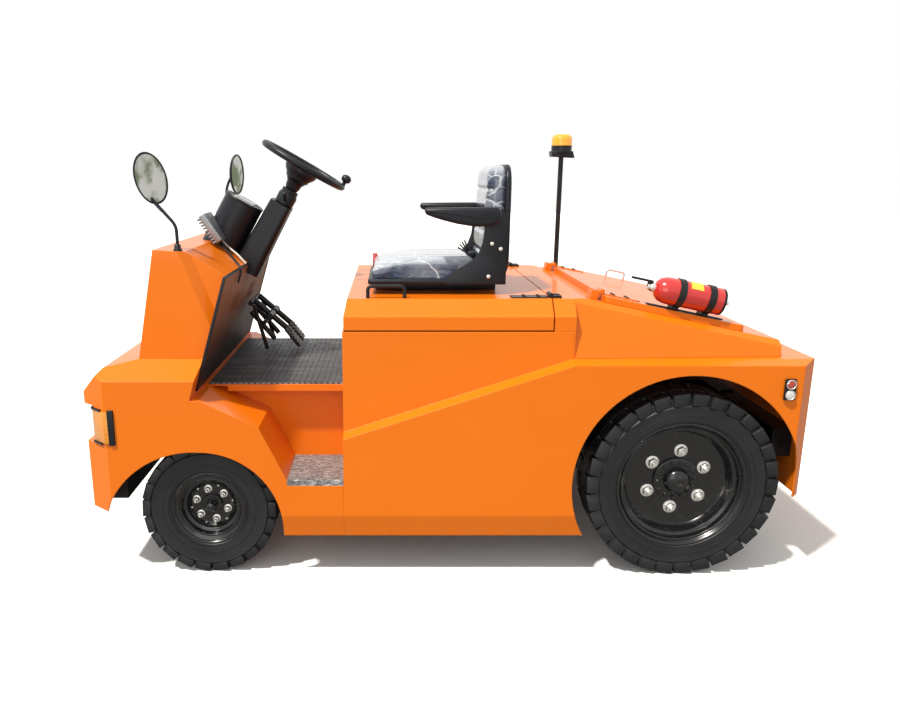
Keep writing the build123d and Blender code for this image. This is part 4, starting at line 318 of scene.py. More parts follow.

# %% [markdown]
# The seat is grey-blue vinyl still in its clear wrapping film. The film's creases catch the light as pale
# streaks, and its sheen lies pale over the top faces;
# both are painted into the colour, so the same material carries dark vinyl, painted highlights and sheen, and a
# sharp wrinkled clear coat.

# %% Seat, lenses, glass
def wrapped_vinyl():
    """Slate vinyl under crumpled clear film: flat facets, thin creases with painted pale highlights, painted
    pale sheen in patches and on top faces.
    """
    finish = Finish("wrapped_vinyl")
    warp = finish.node("ShaderNodeTexNoise", {"Vector": finish.place(), "Scale": 5.0, "Detail": 3.0}, out=1)
    calm = finish.node("ShaderNodeVectorMath", {0: warp, 1: (0.16, 0.16, 0.16)}, operation="MULTIPLY")
    bent = finish.node("ShaderNodeVectorMath", {0: finish.place((0.7, 1.9, 1.7)), 1: calm}, operation="ADD")
    facet = finish.node("ShaderNodeTexVoronoi", {"Vector": bent, "Scale": 5.0}, feature="DISTANCE_TO_EDGE")
    small = finish.node("ShaderNodeTexVoronoi", {"Vector": bent, "Scale": 19.0}, feature="DISTANCE_TO_EDGE")
    creases = 1.0 - finish.band(facet, 0.0, 0.020)
    hairs = 1.0 - finish.band(small, 0.0, 0.022)
    # painted sheen: pale patches of the film's sheen in the colour, which also vary the roughness
    sheen_haze = finish.band(finish.noise(6.0, 4.0, stretch=(1.0, 1.8, 1.0)), 0.40, 0.66)
    # painted sheen on top: the more a face looks up, the paler it is painted
    normal = finish.node("ShaderNodeNewGeometry", out=1)
    up = finish.band(finish.node("ShaderNodeSeparateXYZ", {"Vector": normal}, out=2), 0.15, 0.85)
    vinyl = finish.mix((sheen_haze * 0.22 + up * 0.62).clipped(), (0.018, 0.034, 0.078), (0.56, 0.59, 0.66))
    # painted highlights: thin pale lines along the film's creases
    pale = (creases * 0.60 + hairs * 0.10).clipped()
    return finish.set(Base_Color=finish.mix(pale, vinyl, (0.80, 0.82, 0.86)), Roughness=sheen_haze * 0.1 + 0.24,
                      Coat_Weight=1.0, Coat_Roughness=0.03,
                      Normal=finish.bump(facet.at_most(0.12) + small * 0.25, 0.030, 0.6))


# A fluted lens. Its emission is painted light: a faint shine in the lens's own colour, so that it looks lit
# through.
def clear_lens(name, colour, painted_glow=0.10, ribs=95.0):
    finish = Finish(name)
    flutes = finish.node("ShaderNodeTexWave", {"Vector": finish.place(), "Scale": ribs, "Distortion": 0.0},
                         bands_direction="Z")
    deeper = tuple(part * 0.6 for part in colour)
    return finish.set(Base_Color=finish.mix(flutes, colour, deeper), Roughness=0.12, Coat_Weight=1.0,
                      Emission_Color=colour, Emission_Strength=painted_glow,
                      Normal=finish.bump(flutes, 0.001, 0.5, finish.rounded(0.003)))


def mirror_glass():
    """Silvered glass, with painted reflections of soft greens and darks from its outdoor surroundings."""
    finish = Finish("mirror_glass")
    sheen_haze = finish.band(finish.noise(26.0, 6.0, rough=0.7), 0.5, 0.9)
    # painted reflection: green and dark patches mixed into the glass's colour
    painted_reflection_patches = finish.band(finish.noise(14.0, 3.0, stretch=(1.0, 1.0, 0.7)), 0.44, 0.60)
    silver_and_reflection = finish.mix(painted_reflection_patches, (0.92, 0.94, 0.95), (0.30, 0.36, 0.24))
    return finish.set(Base_Color=silver_and_reflection, Metallic=1.0, Roughness=sheen_haze * 0.12 + 0.03)


def drifting(name, first, second, scale, detail, change, roughness, coat=0.0, peel=0.0):
    """Two near tones that drift into each other, the roughness with them."""
    finish = Finish(name)
    drift = finish.noise(scale, detail)
    if peel:
        finish.set(Normal=finish.bump(finish.noise(300.0, 2.0), 0.0003, peel))
    return finish.set(Base_Color=finish.mix(drift, first, second), Roughness=drift * change + roughness,
                      Coat_Weight=coat)


VINYL = wrapped_vinyl()
# each lens below is given a little painted light as emission
AMBER = clear_lens("amber_lens", (0.88, 0.30, 0.004), 0.14, 60.0)
BEACON_AMBER = clear_lens("beacon_amber", (0.95, 0.42, 0.012), 0.35, 60.0)
RED_LENS = clear_lens("red_lens", (0.50, 0.05, 0.03), 0.06, 160.0)
WHITE_LENS = clear_lens("white_lens", (0.82, 0.82, 0.80), 0.05, 160.0)
GLASS = mirror_glass()
SCREEN = drifting("screen_glass", (0.010, 0.016, 0.030), (0.030, 0.042, 0.065), 40.0, 4.0, 0.12, 0.08, 0.6)
BOTTLE = drifting("bottle_paint", (0.60, 0.018, 0.012), (0.46, 0.012, 0.010), 16.0, 5.0, 0.12, 0.16, 0.8, 0.1)
YELLOW = drifting("yellow_band", (0.85, 0.62, 0.05), (0.72, 0.50, 0.06), 30.0, 5.0, 0.2, 0.35)
SLEEVE = drifting("pale_sleeve", (0.70, 0.70, 0.68), (0.40, 0.40, 0.39), 70.0, 5.0, 0.2, 0.4)
print("made", len(bpy.data.materials), "materials up to here")

# %% [markdown]
# Every CAD node keeps its own mesh and takes the finish that its real part has. The ones that a drawn
# piece stands for are dressed as well, for they are still there underneath.

# %% Finishes on the CAD nodes
SIDES = ((1, "left"), (-1, "right"))


def pairs(*names):
    """Both nodes of each mirrored pair."""
    return tuple(f"{name}_{word}" for name in names for side, word in SIDES)


LOOKS = {
    PAINT: ("front_body", "nose_cowl", "rear_body", "rear_deck", "seat_lid", "rear_hood", "floor_plate",
            "hood_hinges", "hood_hinge_feet"),
    CHASSIS: ("frame", "front_axle", "rear_axle", "front_jaw", "rear_coupling", "beacon_pole", "lid_hinges",
              "lid_hinge_feet", "seat_base", "extinguisher_clamps", "lid_handle", *pairs("knuckle")),
    BATTERY: ("battery",),
    KICK: ("kick_panel",),
    PLASTIC: ("steering_column", "steering_wheel", "display_pod",
              *pairs("mirror", "lamp_bezel", "tail_lamp", "armrest")),
    RUBBER: pairs("tyre_front", "tyre_rear"),
    RIM: pairs("rim_front", "rim_rear"),
    MAT: ("floor_mat", "pedal_brake", "pedal_drive"),
    GRIT: pairs("step_tread"),
    CAST: ("controller",),
    CHROME: ("hood_handle",),
    BOTTLE: ("extinguisher",),
    VINYL: ("seat_cushion", "seat_backrest"),
    GLASS: pairs("mirror_glass"),
    AMBER: ("beacon_lens", *pairs("lamp_lens")),
    STEEL: ("tow_pin",),
}
for material, nodes in LOOKS.items():
    for node in nodes:
        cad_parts[node].data.materials.clear()
        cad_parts[node].data.materials.append(material)
undressed = sorted(set(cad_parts) - {node for nodes in LOOKS.values() for node in nodes})
print("nodes without a finish:", undressed)


# %% [markdown]
# Modelling by hand always goes the same way: select nothing, add a primitive, shape it in edit mode,
# then settle it. Settling names the piece, smooths it, gives it its finish, hangs it on its body and hides the
# CAD nodes it stands for.

# %% Helpers for modelling
def begin():
    """Leave edit mode and select nothing."""
    if bpy.context.mode != "OBJECT":
        bpy.ops.object.mode_set(mode="OBJECT")
    bpy.ops.object.select_all(action="DESELECT")


def grab(piece):
    """Select one piece alone and make it the active one."""
    begin()
    piece.select_set(True)
    bpy.context.view_layer.objects.active = piece


def middle_of(node):
    """The middle of a CAD node's box, where a drawn piece takes its place from."""
    low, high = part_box(node)
    return (low + high) / 2


def pick(piece, test):
    """In edit mode, select the faces whose centre and normal pass the test."""
    bpy.ops.mesh.select_mode(type="FACE")
    bpy.ops.mesh.select_all(action="DESELECT")
    mesh = bmesh.from_edit_mesh(piece.data)
    for face in mesh.faces:
        face.select_set(bool(test(face.calc_center_median(), face.normal)))
    bmesh.update_edit_mesh(piece.data)


def block(size, at=(0, 0, 0), soft=0.004, steps=3):
    """A box of the given size with rounded edges, as a start for moulded pieces."""
    begin()
    bpy.ops.mesh.primitive_cube_add(size=1, location=at)
    piece = bpy.context.object
    piece.scale = size
    bpy.ops.object.transform_apply(location=False, rotation=False, scale=True)
    bpy.ops.object.mode_set(mode="EDIT")
    bpy.ops.mesh.select_all(action="SELECT")
    if soft:
        bpy.ops.mesh.bevel(offset=soft, segments=steps, affect="EDGES")
    bpy.ops.object.mode_set(mode="OBJECT")
    bpy.ops.object.transform_apply(location=True, rotation=False, scale=False)
    return piece


def turned(rings, sides=64, cap_first=False, cap_last=False):
    """A lathe shape about Z: a circle pulled from ring to ring, each a radius and a height."""
    begin()
    radius, height = rings[0]
    bpy.ops.mesh.primitive_circle_add(vertices=sides, radius=radius, location=(0, 0, 0))
    piece = bpy.context.object
    bpy.ops.object.mode_set(mode="EDIT")
    bpy.ops.mesh.select_all(action="SELECT")
    bpy.ops.transform.translate(value=(0, 0, height))
    if cap_first:
        bpy.ops.mesh.edge_face_add()
        bpy.ops.mesh.inset(thickness=radius * 0.02)
        bpy.ops.mesh.select_all(action="DESELECT")
        mesh = bmesh.from_edit_mesh(piece.data)
        for edge in mesh.edges:
            edge.select_set(edge.is_boundary)
        bmesh.update_edit_mesh(piece.data)
        bpy.ops.mesh.select_mode(type="EDGE")
    for wider, higher in rings[1:]:
        bpy.ops.mesh.extrude_edges_move(TRANSFORM_OT_translate={"value": (0, 0, higher - height)})
        bpy.ops.transform.resize(value=(wider / radius, wider / radius, 1), center_override=(0, 0, higher))
        radius, height = wider, higher
    if cap_last:
        bpy.ops.mesh.edge_face_add()
    bpy.ops.mesh.select_all(action="SELECT")
    bpy.ops.mesh.remove_doubles(threshold=0.00005)
    bpy.ops.mesh.normals_make_consistent(inside=False)
    bpy.ops.object.mode_set(mode="OBJECT")
    return piece


def slab(points, thick, soft=0.003, steps=3):
    """A flat plate from an outline in X and Z, thick along +Y from 0: a circle reshaped and extruded."""
    begin()
    bpy.ops.mesh.primitive_circle_add(vertices=len(points), radius=1, fill_type="NGON")
    piece = bpy.context.object
    for point, (x, z) in zip(piece.data.vertices, points):
        point.co = (x, 0, z)
    bpy.ops.object.mode_set(mode="EDIT")
    bpy.ops.mesh.select_all(action="SELECT")
    bpy.ops.mesh.extrude_region_move(TRANSFORM_OT_translate={"value": (0, thick, 0)})
    bpy.ops.mesh.select_all(action="SELECT")
    bpy.ops.mesh.normals_make_consistent(inside=False)
    if soft:
        pick(piece, lambda centre, normal: abs(normal.y) > 0.9)
        bpy.ops.mesh.region_to_loop()
        bpy.ops.mesh.bevel(offset=soft, segments=steps, affect="EDGES")
    bpy.ops.object.mode_set(mode="OBJECT")
    return piece


def rounded_outline(width, height, radius):
    """Points of a rectangle with round corners, centred on 0."""
    points = []
    steps = 6
    for turn, (x, z) in enumerate(((1, 1), (-1, 1), (-1, -1), (1, -1))):
        for step in range(steps + 1):
            angle = (turn + step / steps) * pi / 2
            points.append((x * (width / 2 - radius) + radius * cos(angle),
                           z * (height / 2 - radius) + radius * sin(angle)))
    return points


def rod(start, end, radius, sides=16):
    """A round bar between two points."""
    start, end = Vector(start), Vector(end)
    bar = turned([(radius * 0.8, 0.0), (radius, radius * 0.2), (radius, (end - start).length - radius * 0.2),
                  (radius * 0.8, (end - start).length)], sides, cap_first=True, cap_last=True)
    turn = Vector((0, 0, 1)).rotation_difference(end - start).to_matrix().to_4x4()
    return moved(bar, Matrix.Translation(start) @ turn)


def bent_tube(points, radius):
    """A round tube along a smooth line, made a mesh."""
    begin()
    line = bpy.data.curves.new("line", "CURVE")
    line.dimensions = "3D"
    spline = line.splines.new("NURBS")
    spline.points.add(len(points) - 1)
    for spot, place in zip(spline.points, points):
        spot.co = (*place, 1.0)
    spline.order_u = 3
    spline.use_endpoint_u = True
    line.bevel_depth = radius
    line.bevel_resolution = 4
    line.use_fill_caps = True
    item = bpy.data.objects.new("line", line)
    bpy.context.scene.collection.objects.link(item)
    grab(item)
    bpy.ops.object.convert(target="MESH")
    return bpy.context.object


def copied(piece, matrix):
    """A copy with its own mesh, moved by a matrix."""
    twin = piece.copy()
    twin.data = piece.data.copy()
    twin.data.transform(matrix)
    bpy.context.scene.collection.objects.link(twin)
    return twin


def joined(pieces):
    """One object from several."""
    begin()
    for piece in pieces:
        piece.select_set(True)
    bpy.context.view_layer.objects.active = pieces[0]
    bpy.ops.object.join()
    return bpy.context.object


def faced_out(piece):
    """Turn every face of a piece outwards."""
    grab(piece)
    bpy.ops.object.mode_set(mode="EDIT")
    bpy.ops.mesh.select_all(action="SELECT")
    bpy.ops.mesh.normals_make_consistent(inside=False)
    bpy.ops.object.mode_set(mode="OBJECT")
    return piece


def moved(piece, matrix):
    """Move a mesh inside its object, which itself stays at the origin."""
    piece.data.transform(matrix)
    return piece


def outwards(centre, side):
    """The matrix that stands a piece drawn about Z on the tug's side, its outer side to that side."""
    return Matrix.Translation(centre) @ Matrix.Rotation(-side * pi / 2, 4, "X")


def settle(piece, name, body, material, angle=32, stands_for=()):
    """Name a finished piece, smooth it, give it its finish and hang it on its body."""
    grab(piece)
    piece.name = name
    piece.data.name = name
    bpy.ops.object.shade_smooth_by_angle(angle=radians(angle))
    piece.data.materials.clear()
    piece.data.materials.append(material)
    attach(piece, body)
    if stands_for:
        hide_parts(*stands_for)
    print(name, "rides on", body, "and has", len(piece.data.polygons), "faces")
    return piece


print("modelling helpers are ready")

# %% [markdown]
# A solid tyre is one turned section: bead, bulging sidewall with raised mould rings, and a groove floor
# under the tread. Its radius and width are those of the CAD tyre. The lugs are blocks set round both
# shoulders, drawn once and copied. A block's flat top has corners further out than its middle, so it sits
# lower by that much and the tyre keeps its radius.

# %% Tyres
MOULD_RINGS_MM = ((0, 18), (10, 12), (13, 8), (18, 8), (18.5, 6), (22, 6), (22.5, 4), (40, 3), (40.5, 1.5),
                  (43.5, 1.5), (44, 3))


def tyre(end, bead, lugs, reach):
    """A tyre about Z, its outer side up, with lug blocks that reach down both shoulders."""
    low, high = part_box(f"tyre_{end}_left")
    radius = (high.z - low.z) / 2
    half = (high.y - low.y) / 2
    floor = radius - 0.013
    rings = [(bead + out / 1000, up / 1000 - half) for out, up in MOULD_RINGS_MM]
    rings += [(radius - reach - 0.012, 0.003 - half), (radius - reach - 0.006, 0.0015 - half),
              (radius - reach, 0.0075 - half), (floor - 0.006, 0.014 - half), (floor, 0.022 - half)]
    rings += [(wide, -up) for wide, up in reversed(rings)]
    rings.append(rings[0])
    body = turned(rings, 120)
    share = tau * radius / lugs
    wide = share * 0.86
    tall = half * 0.86
    middle = half * 0.565
    outer = radius - (wide / 2 + tall * 0.08) ** 2 / (2 * radius)
    lug = block((reach, wide, tall), (outer - reach / 2, 0, middle), 0.0035, 2)
    notch = block((0.006, share * 0.30, tall * 0.9), (outer - reach / 4, 0, middle + 0.0022), 0.001, 1)
    centre = Matrix.Translation((0, 0, middle))
    lug = moved(joined([lug, notch]), centre @ Matrix.Rotation(0.16, 4, "X") @ centre.inverted())
    mirror = Matrix.Diagonal((1, 1, -1, 1))
    lug_copies = []
    for step in range(lugs):
        lug_copies.append(copied(lug, Matrix.Rotation(tau * step / lugs, 4, "Z")))
        lug_copies.append(copied(lug, Matrix.Rotation(tau * (step + 0.5) / lugs, 4, "Z") @ mirror))
    bpy.data.objects.remove(lug)
    rib = turned([(floor - 0.002, -0.024), (radius - 0.002, -0.021), (radius - 0.001, 0.021),
                  (floor - 0.002, 0.024), (floor - 0.010, 0.0), (floor - 0.002, -0.024)], 96)
    print(end, "tyre of radius", round(radius, 4), "with", len(lug_copies), "lugs")
    return faced_out(joined([body, rib] + lug_copies))


TYRES = {"front": tyre("front", 0.142, 22, 0.032), "rear": tyre("rear", 0.246, 30, 0.046)}

# %% [markdown]
# A rim is turned as well: a thin rolled lip, a wide flange, the wall down into the dish, the disc, and a
# domed hub. The front flange is broad and hides most of the dish. Nuts are six-sided, on round washers.
# Small bolts inside the hub's circle are black like the rim; outside it they are bright like the nuts.

# %% Rims
def rim(bead, half, mouth, depth, hub, nut_circle, nut, small_circle, small_count, turns):
    """A dished steel rim about Z, its outer side up, its nuts, and the small bolts round its hub."""
    lip = half - 0.018
    face = turned([
        (bead + 0.012, lip - 0.002), (bead + 0.013, lip + 0.003), (bead + 0.009, lip + 0.008),
        (bead + 0.004, lip + 0.009), (bead, lip + 0.006), (bead - 0.003, lip),
        (mouth + 0.006, lip - 0.006), (mouth + 0.002, lip - 0.003), (mouth - 0.002, lip - 0.006),
        (mouth - 0.006, lip - 0.028), (mouth - 0.018, lip - 0.034), (mouth - 0.021, lip - 0.042),
        (mouth - 0.026, depth + 0.012), (mouth - 0.034, depth + 0.002), (mouth - 0.042, depth),
        (hub * 1.04, depth), (hub * 1.03, depth + 0.012), (hub * 0.98, depth + 0.014),
        (hub * 0.62, depth + 0.014), (hub * 0.60, depth + 0.030), (hub * 0.54, depth + 0.042),
        (hub * 0.42, depth + 0.050), (hub * 0.16, depth + 0.054), (hub * 0.10, depth + 0.051)],
        120, cap_last=True)
    barrel = turned([(bead - 0.003, lip), (bead - 0.001, lip - 0.010), (bead - 0.001, -lip),
                     (bead + 0.012, -lip - 0.003), (bead + 0.010, -lip - 0.007), (bead - 0.007, -lip),
                     (bead - 0.007, lip - 0.020), (bead - 0.003, lip)], 96)
    back = turned([(hub * 0.8, depth - 0.012), (mouth - 0.040, depth - 0.009), (bead - 0.006, depth + 0.001)])
    dull = [face, barrel, back]
    bright = []

    def on_circle(piece, circle, angle, level):
        return moved(piece, Matrix.Translation((circle * cos(angle), circle * sin(angle), level)))

    inside = small_circle < hub
    for step in range(small_count):
        bolt = turned([(nut * 0.36, 0.0), (nut * 0.36, 0.007), (nut * 0.28, 0.009)], 8, cap_last=True)
        on_circle(bolt, small_circle, tau * step / small_count + turns[1], depth + (0.013 if inside else 0.0))
        (dull if inside else bright).append(bolt)
    for step in range(6):
        washer = turned([(nut * 1.30, 0.0), (nut * 1.30, 0.004), (nut * 1.16, 0.005), (nut * 0.6, 0.005)], 24,
                        cap_last=True)
        hexagon = turned([(nut, 0.005), (nut, 0.018), (nut * 0.86, 0.022), (nut * 0.56, 0.022)], 6,
                         cap_last=True)
        stud = turned([(nut * 0.50, 0.016), (nut * 0.50, 0.032), (nut * 0.38, 0.035)], 16, cap_last=True)
        bright.append(on_circle(joined([washer, hexagon, stud]), nut_circle, tau * step / 6 + turns[0], depth))
    print("rim for bead", bead, "with", small_count, "small bolts")
    return joined(dull), joined(bright)


RIMS = {
    "front": rim(0.142, 0.080, 0.118, 0.012, 0.040, 0.065, 0.0125, 0.084, 6, (0.742, 0.18)),
    "rear": rim(0.246, 0.095, 0.232, 0.004, 0.086, 0.120, 0.0205, 0.073, 14, (0.42, 0.1)),
}

# %% [markdown]
# Each wheel is the same tyre, rim and nuts, copied to its axle end and turned so that the dish looks
# outwards. Every copy has its own mesh and rides on its own wheel body, so that it spins with it.

# %% Four wheels
for end in ("front", "rear"):
    x, y, z = middle_of(f"tyre_{end}_left")
    parts = ((TYRES[end], "tyre", RUBBER, "tyre_rubber", 40), (RIMS[end][0], "rim", RIM, "rim_paint", 32),
             (RIMS[end][1], "nuts", ZINC, "pin_steel", 32))
    for piece, kind, material, slot, angle in parts:
        for side, word in SIDES:
            node = () if kind == "nuts" else (f"{kind}_{end}_{word}",)
            settle(copied(piece, outwards((x, side * y, z), side)), f"{end}_{kind}_{word}",
                   f"wheel_{end}_{word}", material, angle, node)
        bpy.data.objects.remove(piece)

# %% [markdown]
# The steering wheel leans back by 30 degrees. It is drawn flat about Z: a torus for the rim, three
# spokes on a dished boss, the knob for one-handed turning, then all of it is stood on the column.

# %% Steering wheel
begin()
bpy.ops.mesh.primitive_torus_add(major_radius=0.186, minor_radius=0.0138, major_segments=72,
                                 minor_segments=18)
hoop = bpy.context.object
spokes = []
for step in range(3):
    spoke = block((0.150, 0.030, 0.009), (0.105, 0, -0.008))
    spokes.append(moved(spoke, Matrix.Rotation(tau * step / 3 + pi / 3, 4, "Z")))
boss = turned([(0.026, -0.119), (0.032, -0.104), (0.034, -0.088), (0.046, -0.070), (0.052, -0.066),
               (0.053, -0.058), (0.068, -0.040), (0.074, -0.026), (0.070, -0.012), (0.056, -0.004),
               (0.040, 0.002), (0.018, 0.004)], 56, cap_first=True, cap_last=True)
knob = turned([(0.009, 0.002), (0.008, 0.018), (0.014, 0.020), (0.0205, 0.027), (0.0220, 0.035),
               (0.0195, 0.044), (0.0120, 0.050), (0.004, 0.052)], 32, cap_last=True)
moved(knob, Matrix.Translation((-0.187, 0, 0.006)))
COLUMN = Matrix.Translation((0.586, 0, 1.592)) @ Matrix.Rotation(radians(-30), 4, "Y")
settle(moved(joined([hoop, boss, knob] + spokes), COLUMN), "wheel_rim_and_boss", "steering_wheel", PLASTIC,
       40, ("steering_wheel",))

# %% [markdown]
# Forward of the column stands the display pod, a drum cut square at the top with a pale screen. The
# CAD drum stays; a bezel ring, the screen with its edge, two stalks and their collar are added.

# %% Display and stalks
POD = 0.152
bezel = turned([(0.086, -0.268), (0.088, -0.262), (0.086, -0.2575), (0.078, -0.2570), (0.073, -0.2605)],
               cap_last=True)
settle(moved(bezel, COLUMN @ Matrix.Translation((POD, 0, 0))), "display_bezel", "chassis", PLASTIC)
edge = block((0.088, 0.112, 0.003), (POD, 0, -0.2580), 0.0012, 2)
settle(moved(edge, COLUMN), "display_edge", "chassis", SLEEVE)
screen = block((0.076, 0.100, 0.003), (POD, 0, -0.2570), 0.0012, 2)
settle(moved(screen, COLUMN), "display_screen", "chassis", SCREEN)
stalks = []
for side, word in SIDES:
    stalk = turned([(0.006, 0.0), (0.006, 0.070), (0.010, 0.080), (0.010, 0.110), (0.006, 0.116)], 20,
                   cap_last=True)
    moved(stalk, Matrix.Translation((0, side * 0.030, -0.170)) @ Matrix.Rotation(-side * 1.25, 4, "X"))
    stalks.append(stalk)
collar = turned([(0.037, -0.190), (0.041, -0.186), (0.042, -0.150), (0.039, -0.140)], 40, cap_last=True)
settle(moved(joined(stalks + [collar]), COLUMN), "column_stalks", "chassis", PLASTIC, 40)

# %% [markdown]
# A foam cushion crowns in the middle and pulls in between its corners. The CAD block is shrunk a
# little, remeshed and blown up by the Cloth solver with pressure and no gravity; no point may move
# further than a cap or leave the block's box. The seat then falls off to its front and sides.

# %% Seat cushions
SEAT_Y = middle_of("seat_cushion").y
PRESSURE = 4.0
FRAMES = 20


def puffed(node, shrink=0.010, cap=0.012):
    """A copy of a CAD block swollen into a cushion."""
    piece = bpy.data.objects.new("puffed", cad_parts[node].data.copy())
    bpy.context.scene.collection.objects.link(piece)
    grab(piece)
    low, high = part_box(node)
    middle = middle_of(node)
    for point in piece.data.vertices:
        for axis in range(3):
            half = (high[axis] - low[axis]) / 2
            point.co[axis] = middle[axis] + (point.co[axis] - middle[axis]) * (half - shrink) / half
    remesh = piece.modifiers.new("voxels", "REMESH")
    remesh.mode = "VOXEL"
    remesh.voxel_size = 0.006
    bpy.ops.object.modifier_apply(modifier="voxels")
    rest = [point.co.copy() for point in piece.data.vertices]
    cloth = piece.modifiers.new("puff", "CLOTH")
    cloth.settings.use_pressure = True
    cloth.settings.uniform_pressure_force = PRESSURE
    cloth.settings.effector_weights.gravity = 0.0
    cloth.point_cache.frame_end = FRAMES
    for step in range(1, FRAMES + 1):
        bpy.context.scene.frame_set(step)
    bpy.ops.object.modifier_apply(modifier="puff")
    bpy.context.scene.frame_set(1)
    for point, start in zip(piece.data.vertices, rest):
        step = point.co - start
        if step.length > cap:
            point.co = start + step * (cap / step.length)
    for point in piece.data.vertices:
        for axis in range(3):
            point.co[axis] = min(max(point.co[axis], low[axis]), high[axis])
        if node == "seat_cushion":
            share = (point.co.z - low.z) / (high.z - low.z)
            front = max(0.0, (point.co.x - 0.10) / 0.20)
            side = max(0.0, (abs(point.co.y - middle.y) - 0.15) / 0.085)
            point.co.z -= share * (0.040 * front ** 2 + 0.014 * side ** 2)
    smooth = piece.modifiers.new("even", "SMOOTH")
    smooth.factor = 0.5
    smooth.iterations = 6
    bpy.ops.object.modifier_apply(modifier="even")
    print("cushion", node, len(piece.data.vertices), "points")
    return piece


def channelled(piece, lines, axis, face, depth=0.007, reach=0.012):
    """Press sewn channels into the side that looks along face, at the given places along an axis."""
    for point in piece.data.vertices:
        near = min(abs(point.co[axis] - line) for line in lines)
        if near < reach and point.normal[face] > 0.5:
            point.co[face] -= depth * (0.5 + 0.5 * cos(pi * near / reach))
    return piece


cushion = channelled(puffed("seat_cushion"), (SEAT_Y - 0.12, SEAT_Y + 0.12), 1, 2)
settle(cushion, "cushion", "lid", VINYL, 180, ("seat_cushion",))
back = channelled(puffed("seat_backrest"), (1.26, 1.34, 1.42, 1.50), 2, 0)
settle(back, "backrest", "lid", VINYL, 180, ("seat_backrest",))

# %% [markdown]
# The armrests are long moulded pads, deep at the pivot and thin at the tip, with a full round edge. The
# seat's frame is a pan on two rails, a plate up each side with a swept front edge, and a shell behind.

# %% Armrests and seat frame
ARM = [(0.074, 1.4330), (0.081, 1.4270), (0.082, 1.4180), (0.076, 1.4080), (0.050, 1.3980), (0.010, 1.3860),
       (-0.040, 1.3740), (-0.090, 1.3660), (-0.130, 1.3640), (-0.170, 1.3680), (-0.196, 1.3790),
       (-0.206, 1.3960), (-0.206, 1.4180), (-0.198, 1.4310), (-0.180, 1.4350), (-0.060, 1.4345)]
PLATE = [(-0.236, 1.141), (0.004, 1.141), (-0.006, 1.164), (-0.030, 1.192), (-0.070, 1.214), (-0.105, 1.236),
         (-0.128, 1.262), (-0.142, 1.300), (-0.148, 1.345), (-0.150, 1.400), (-0.170, 1.420), (-0.215, 1.424),
         (-0.236, 1.405)]
frame_parts = []
for side, word in SIDES:
    arm = slab(ARM, 0.050, 0.014, 5)
    settle(moved(arm, Matrix.Translation((0, SEAT_Y + side * 0.2655 - 0.025, 0))), f"arm_pad_{word}", "lid",
           PLASTIC, 60, (f"armrest_{word}",))
    plate = slab(PLATE, 0.006, 0.0015, 2)
    frame_parts.append(moved(plate, Matrix.Translation((0, SEAT_Y + side * 0.2385 - 0.003, 0))))
    frame_parts.append(block((0.488, 0.034, 0.040), (0.028, SEAT_Y + side * 0.070, 1.1205), 0.002, 2))
frame_parts.append(block((0.535, 0.472, 0.022), (0.0325, SEAT_Y, 1.1500), 0.008, 4))
shell = slab(rounded_outline(0.464, 0.416, 0.080), 0.022, 0.008, 4)
frame_parts.append(moved(shell, Matrix.Translation((-0.226, SEAT_Y, 1.384)) @ Matrix.Rotation(pi / 2, 4, "Z")))
settle(joined(frame_parts), "seat_frame", "lid", PLASTIC, 40, ("seat_base",))

# %% [markdown]
# Small things on the seat: a red tag at its front corner, three bright bolt heads on the near plate, and
# the folded belt with its ends fanned out beside the backrest.

# %% Tag, bolts and belt
tag = block((0.022, 0.008, 0.060), (0.280, 0.019, 1.188), 0.003, 2)
settle(tag, "seat_tag", "lid", BOTTLE)
heads = []
for x, z in ((-0.168, 1.172), (-0.178, 1.298), (-0.212, 1.278)):
    head = turned([(0.0075, 0.0), (0.0075, 0.003), (0.005, 0.0045)], 20, cap_last=True)
    heads.append(moved(head, outwards((x, 0.4913, z), 1)))
settle(joined(heads), "seat_bolts", "lid", ZINC)
fan = []
for step in range(4):
    strap = block((0.060, 0.012, 0.006), (0.030, 0, 0), 0.002, 2)
    tilt = Matrix.Rotation(-0.55 - 0.22 * step, 4, "Y")
    fan.append(moved(strap, Matrix.Translation((-0.105, 0.400 - 0.014 * step, 1.245)) @ tilt))
fan.append(block((0.034, 0.050, 0.030), (-0.110, 0.380, 1.243), 0.006))
settle(joined(fan), "belt_buckle", "lid", PLASTIC)

# %% [markdown]
# The extinguisher lies along the hood's edge. It is turned about its own axis: a dark base ring, the
# red shell with its shoulder, and a bright valve with a black lever, a grip and a gauge. The plain
# yellow band is a short tube cut away below. All of it is then laid along the slope and rides the hood.

# %% Extinguisher
SLOPE = 0.21
DECK_EDGE_X, DECK_TOP = -0.520, 1.100
HOOD_RISE = 0.0253
UP = Vector((-SLOPE, 0, 1)).normalized()
ALONG = Vector((1, 0, SLOPE)).normalized()


def on_hood(x, y, lift):
    """A point that much above the hood's top, which itself lies over the sloping deck."""
    return Vector((x, y, DECK_TOP - SLOPE * (DECK_EDGE_X - x) + HOOD_RISE)) + UP * lift


def on_bottle(piece, name, material, angle=32, stands_for=()):
    return settle(moved(piece, BOTTLE_AT), name, "hood", material, angle, stands_for)


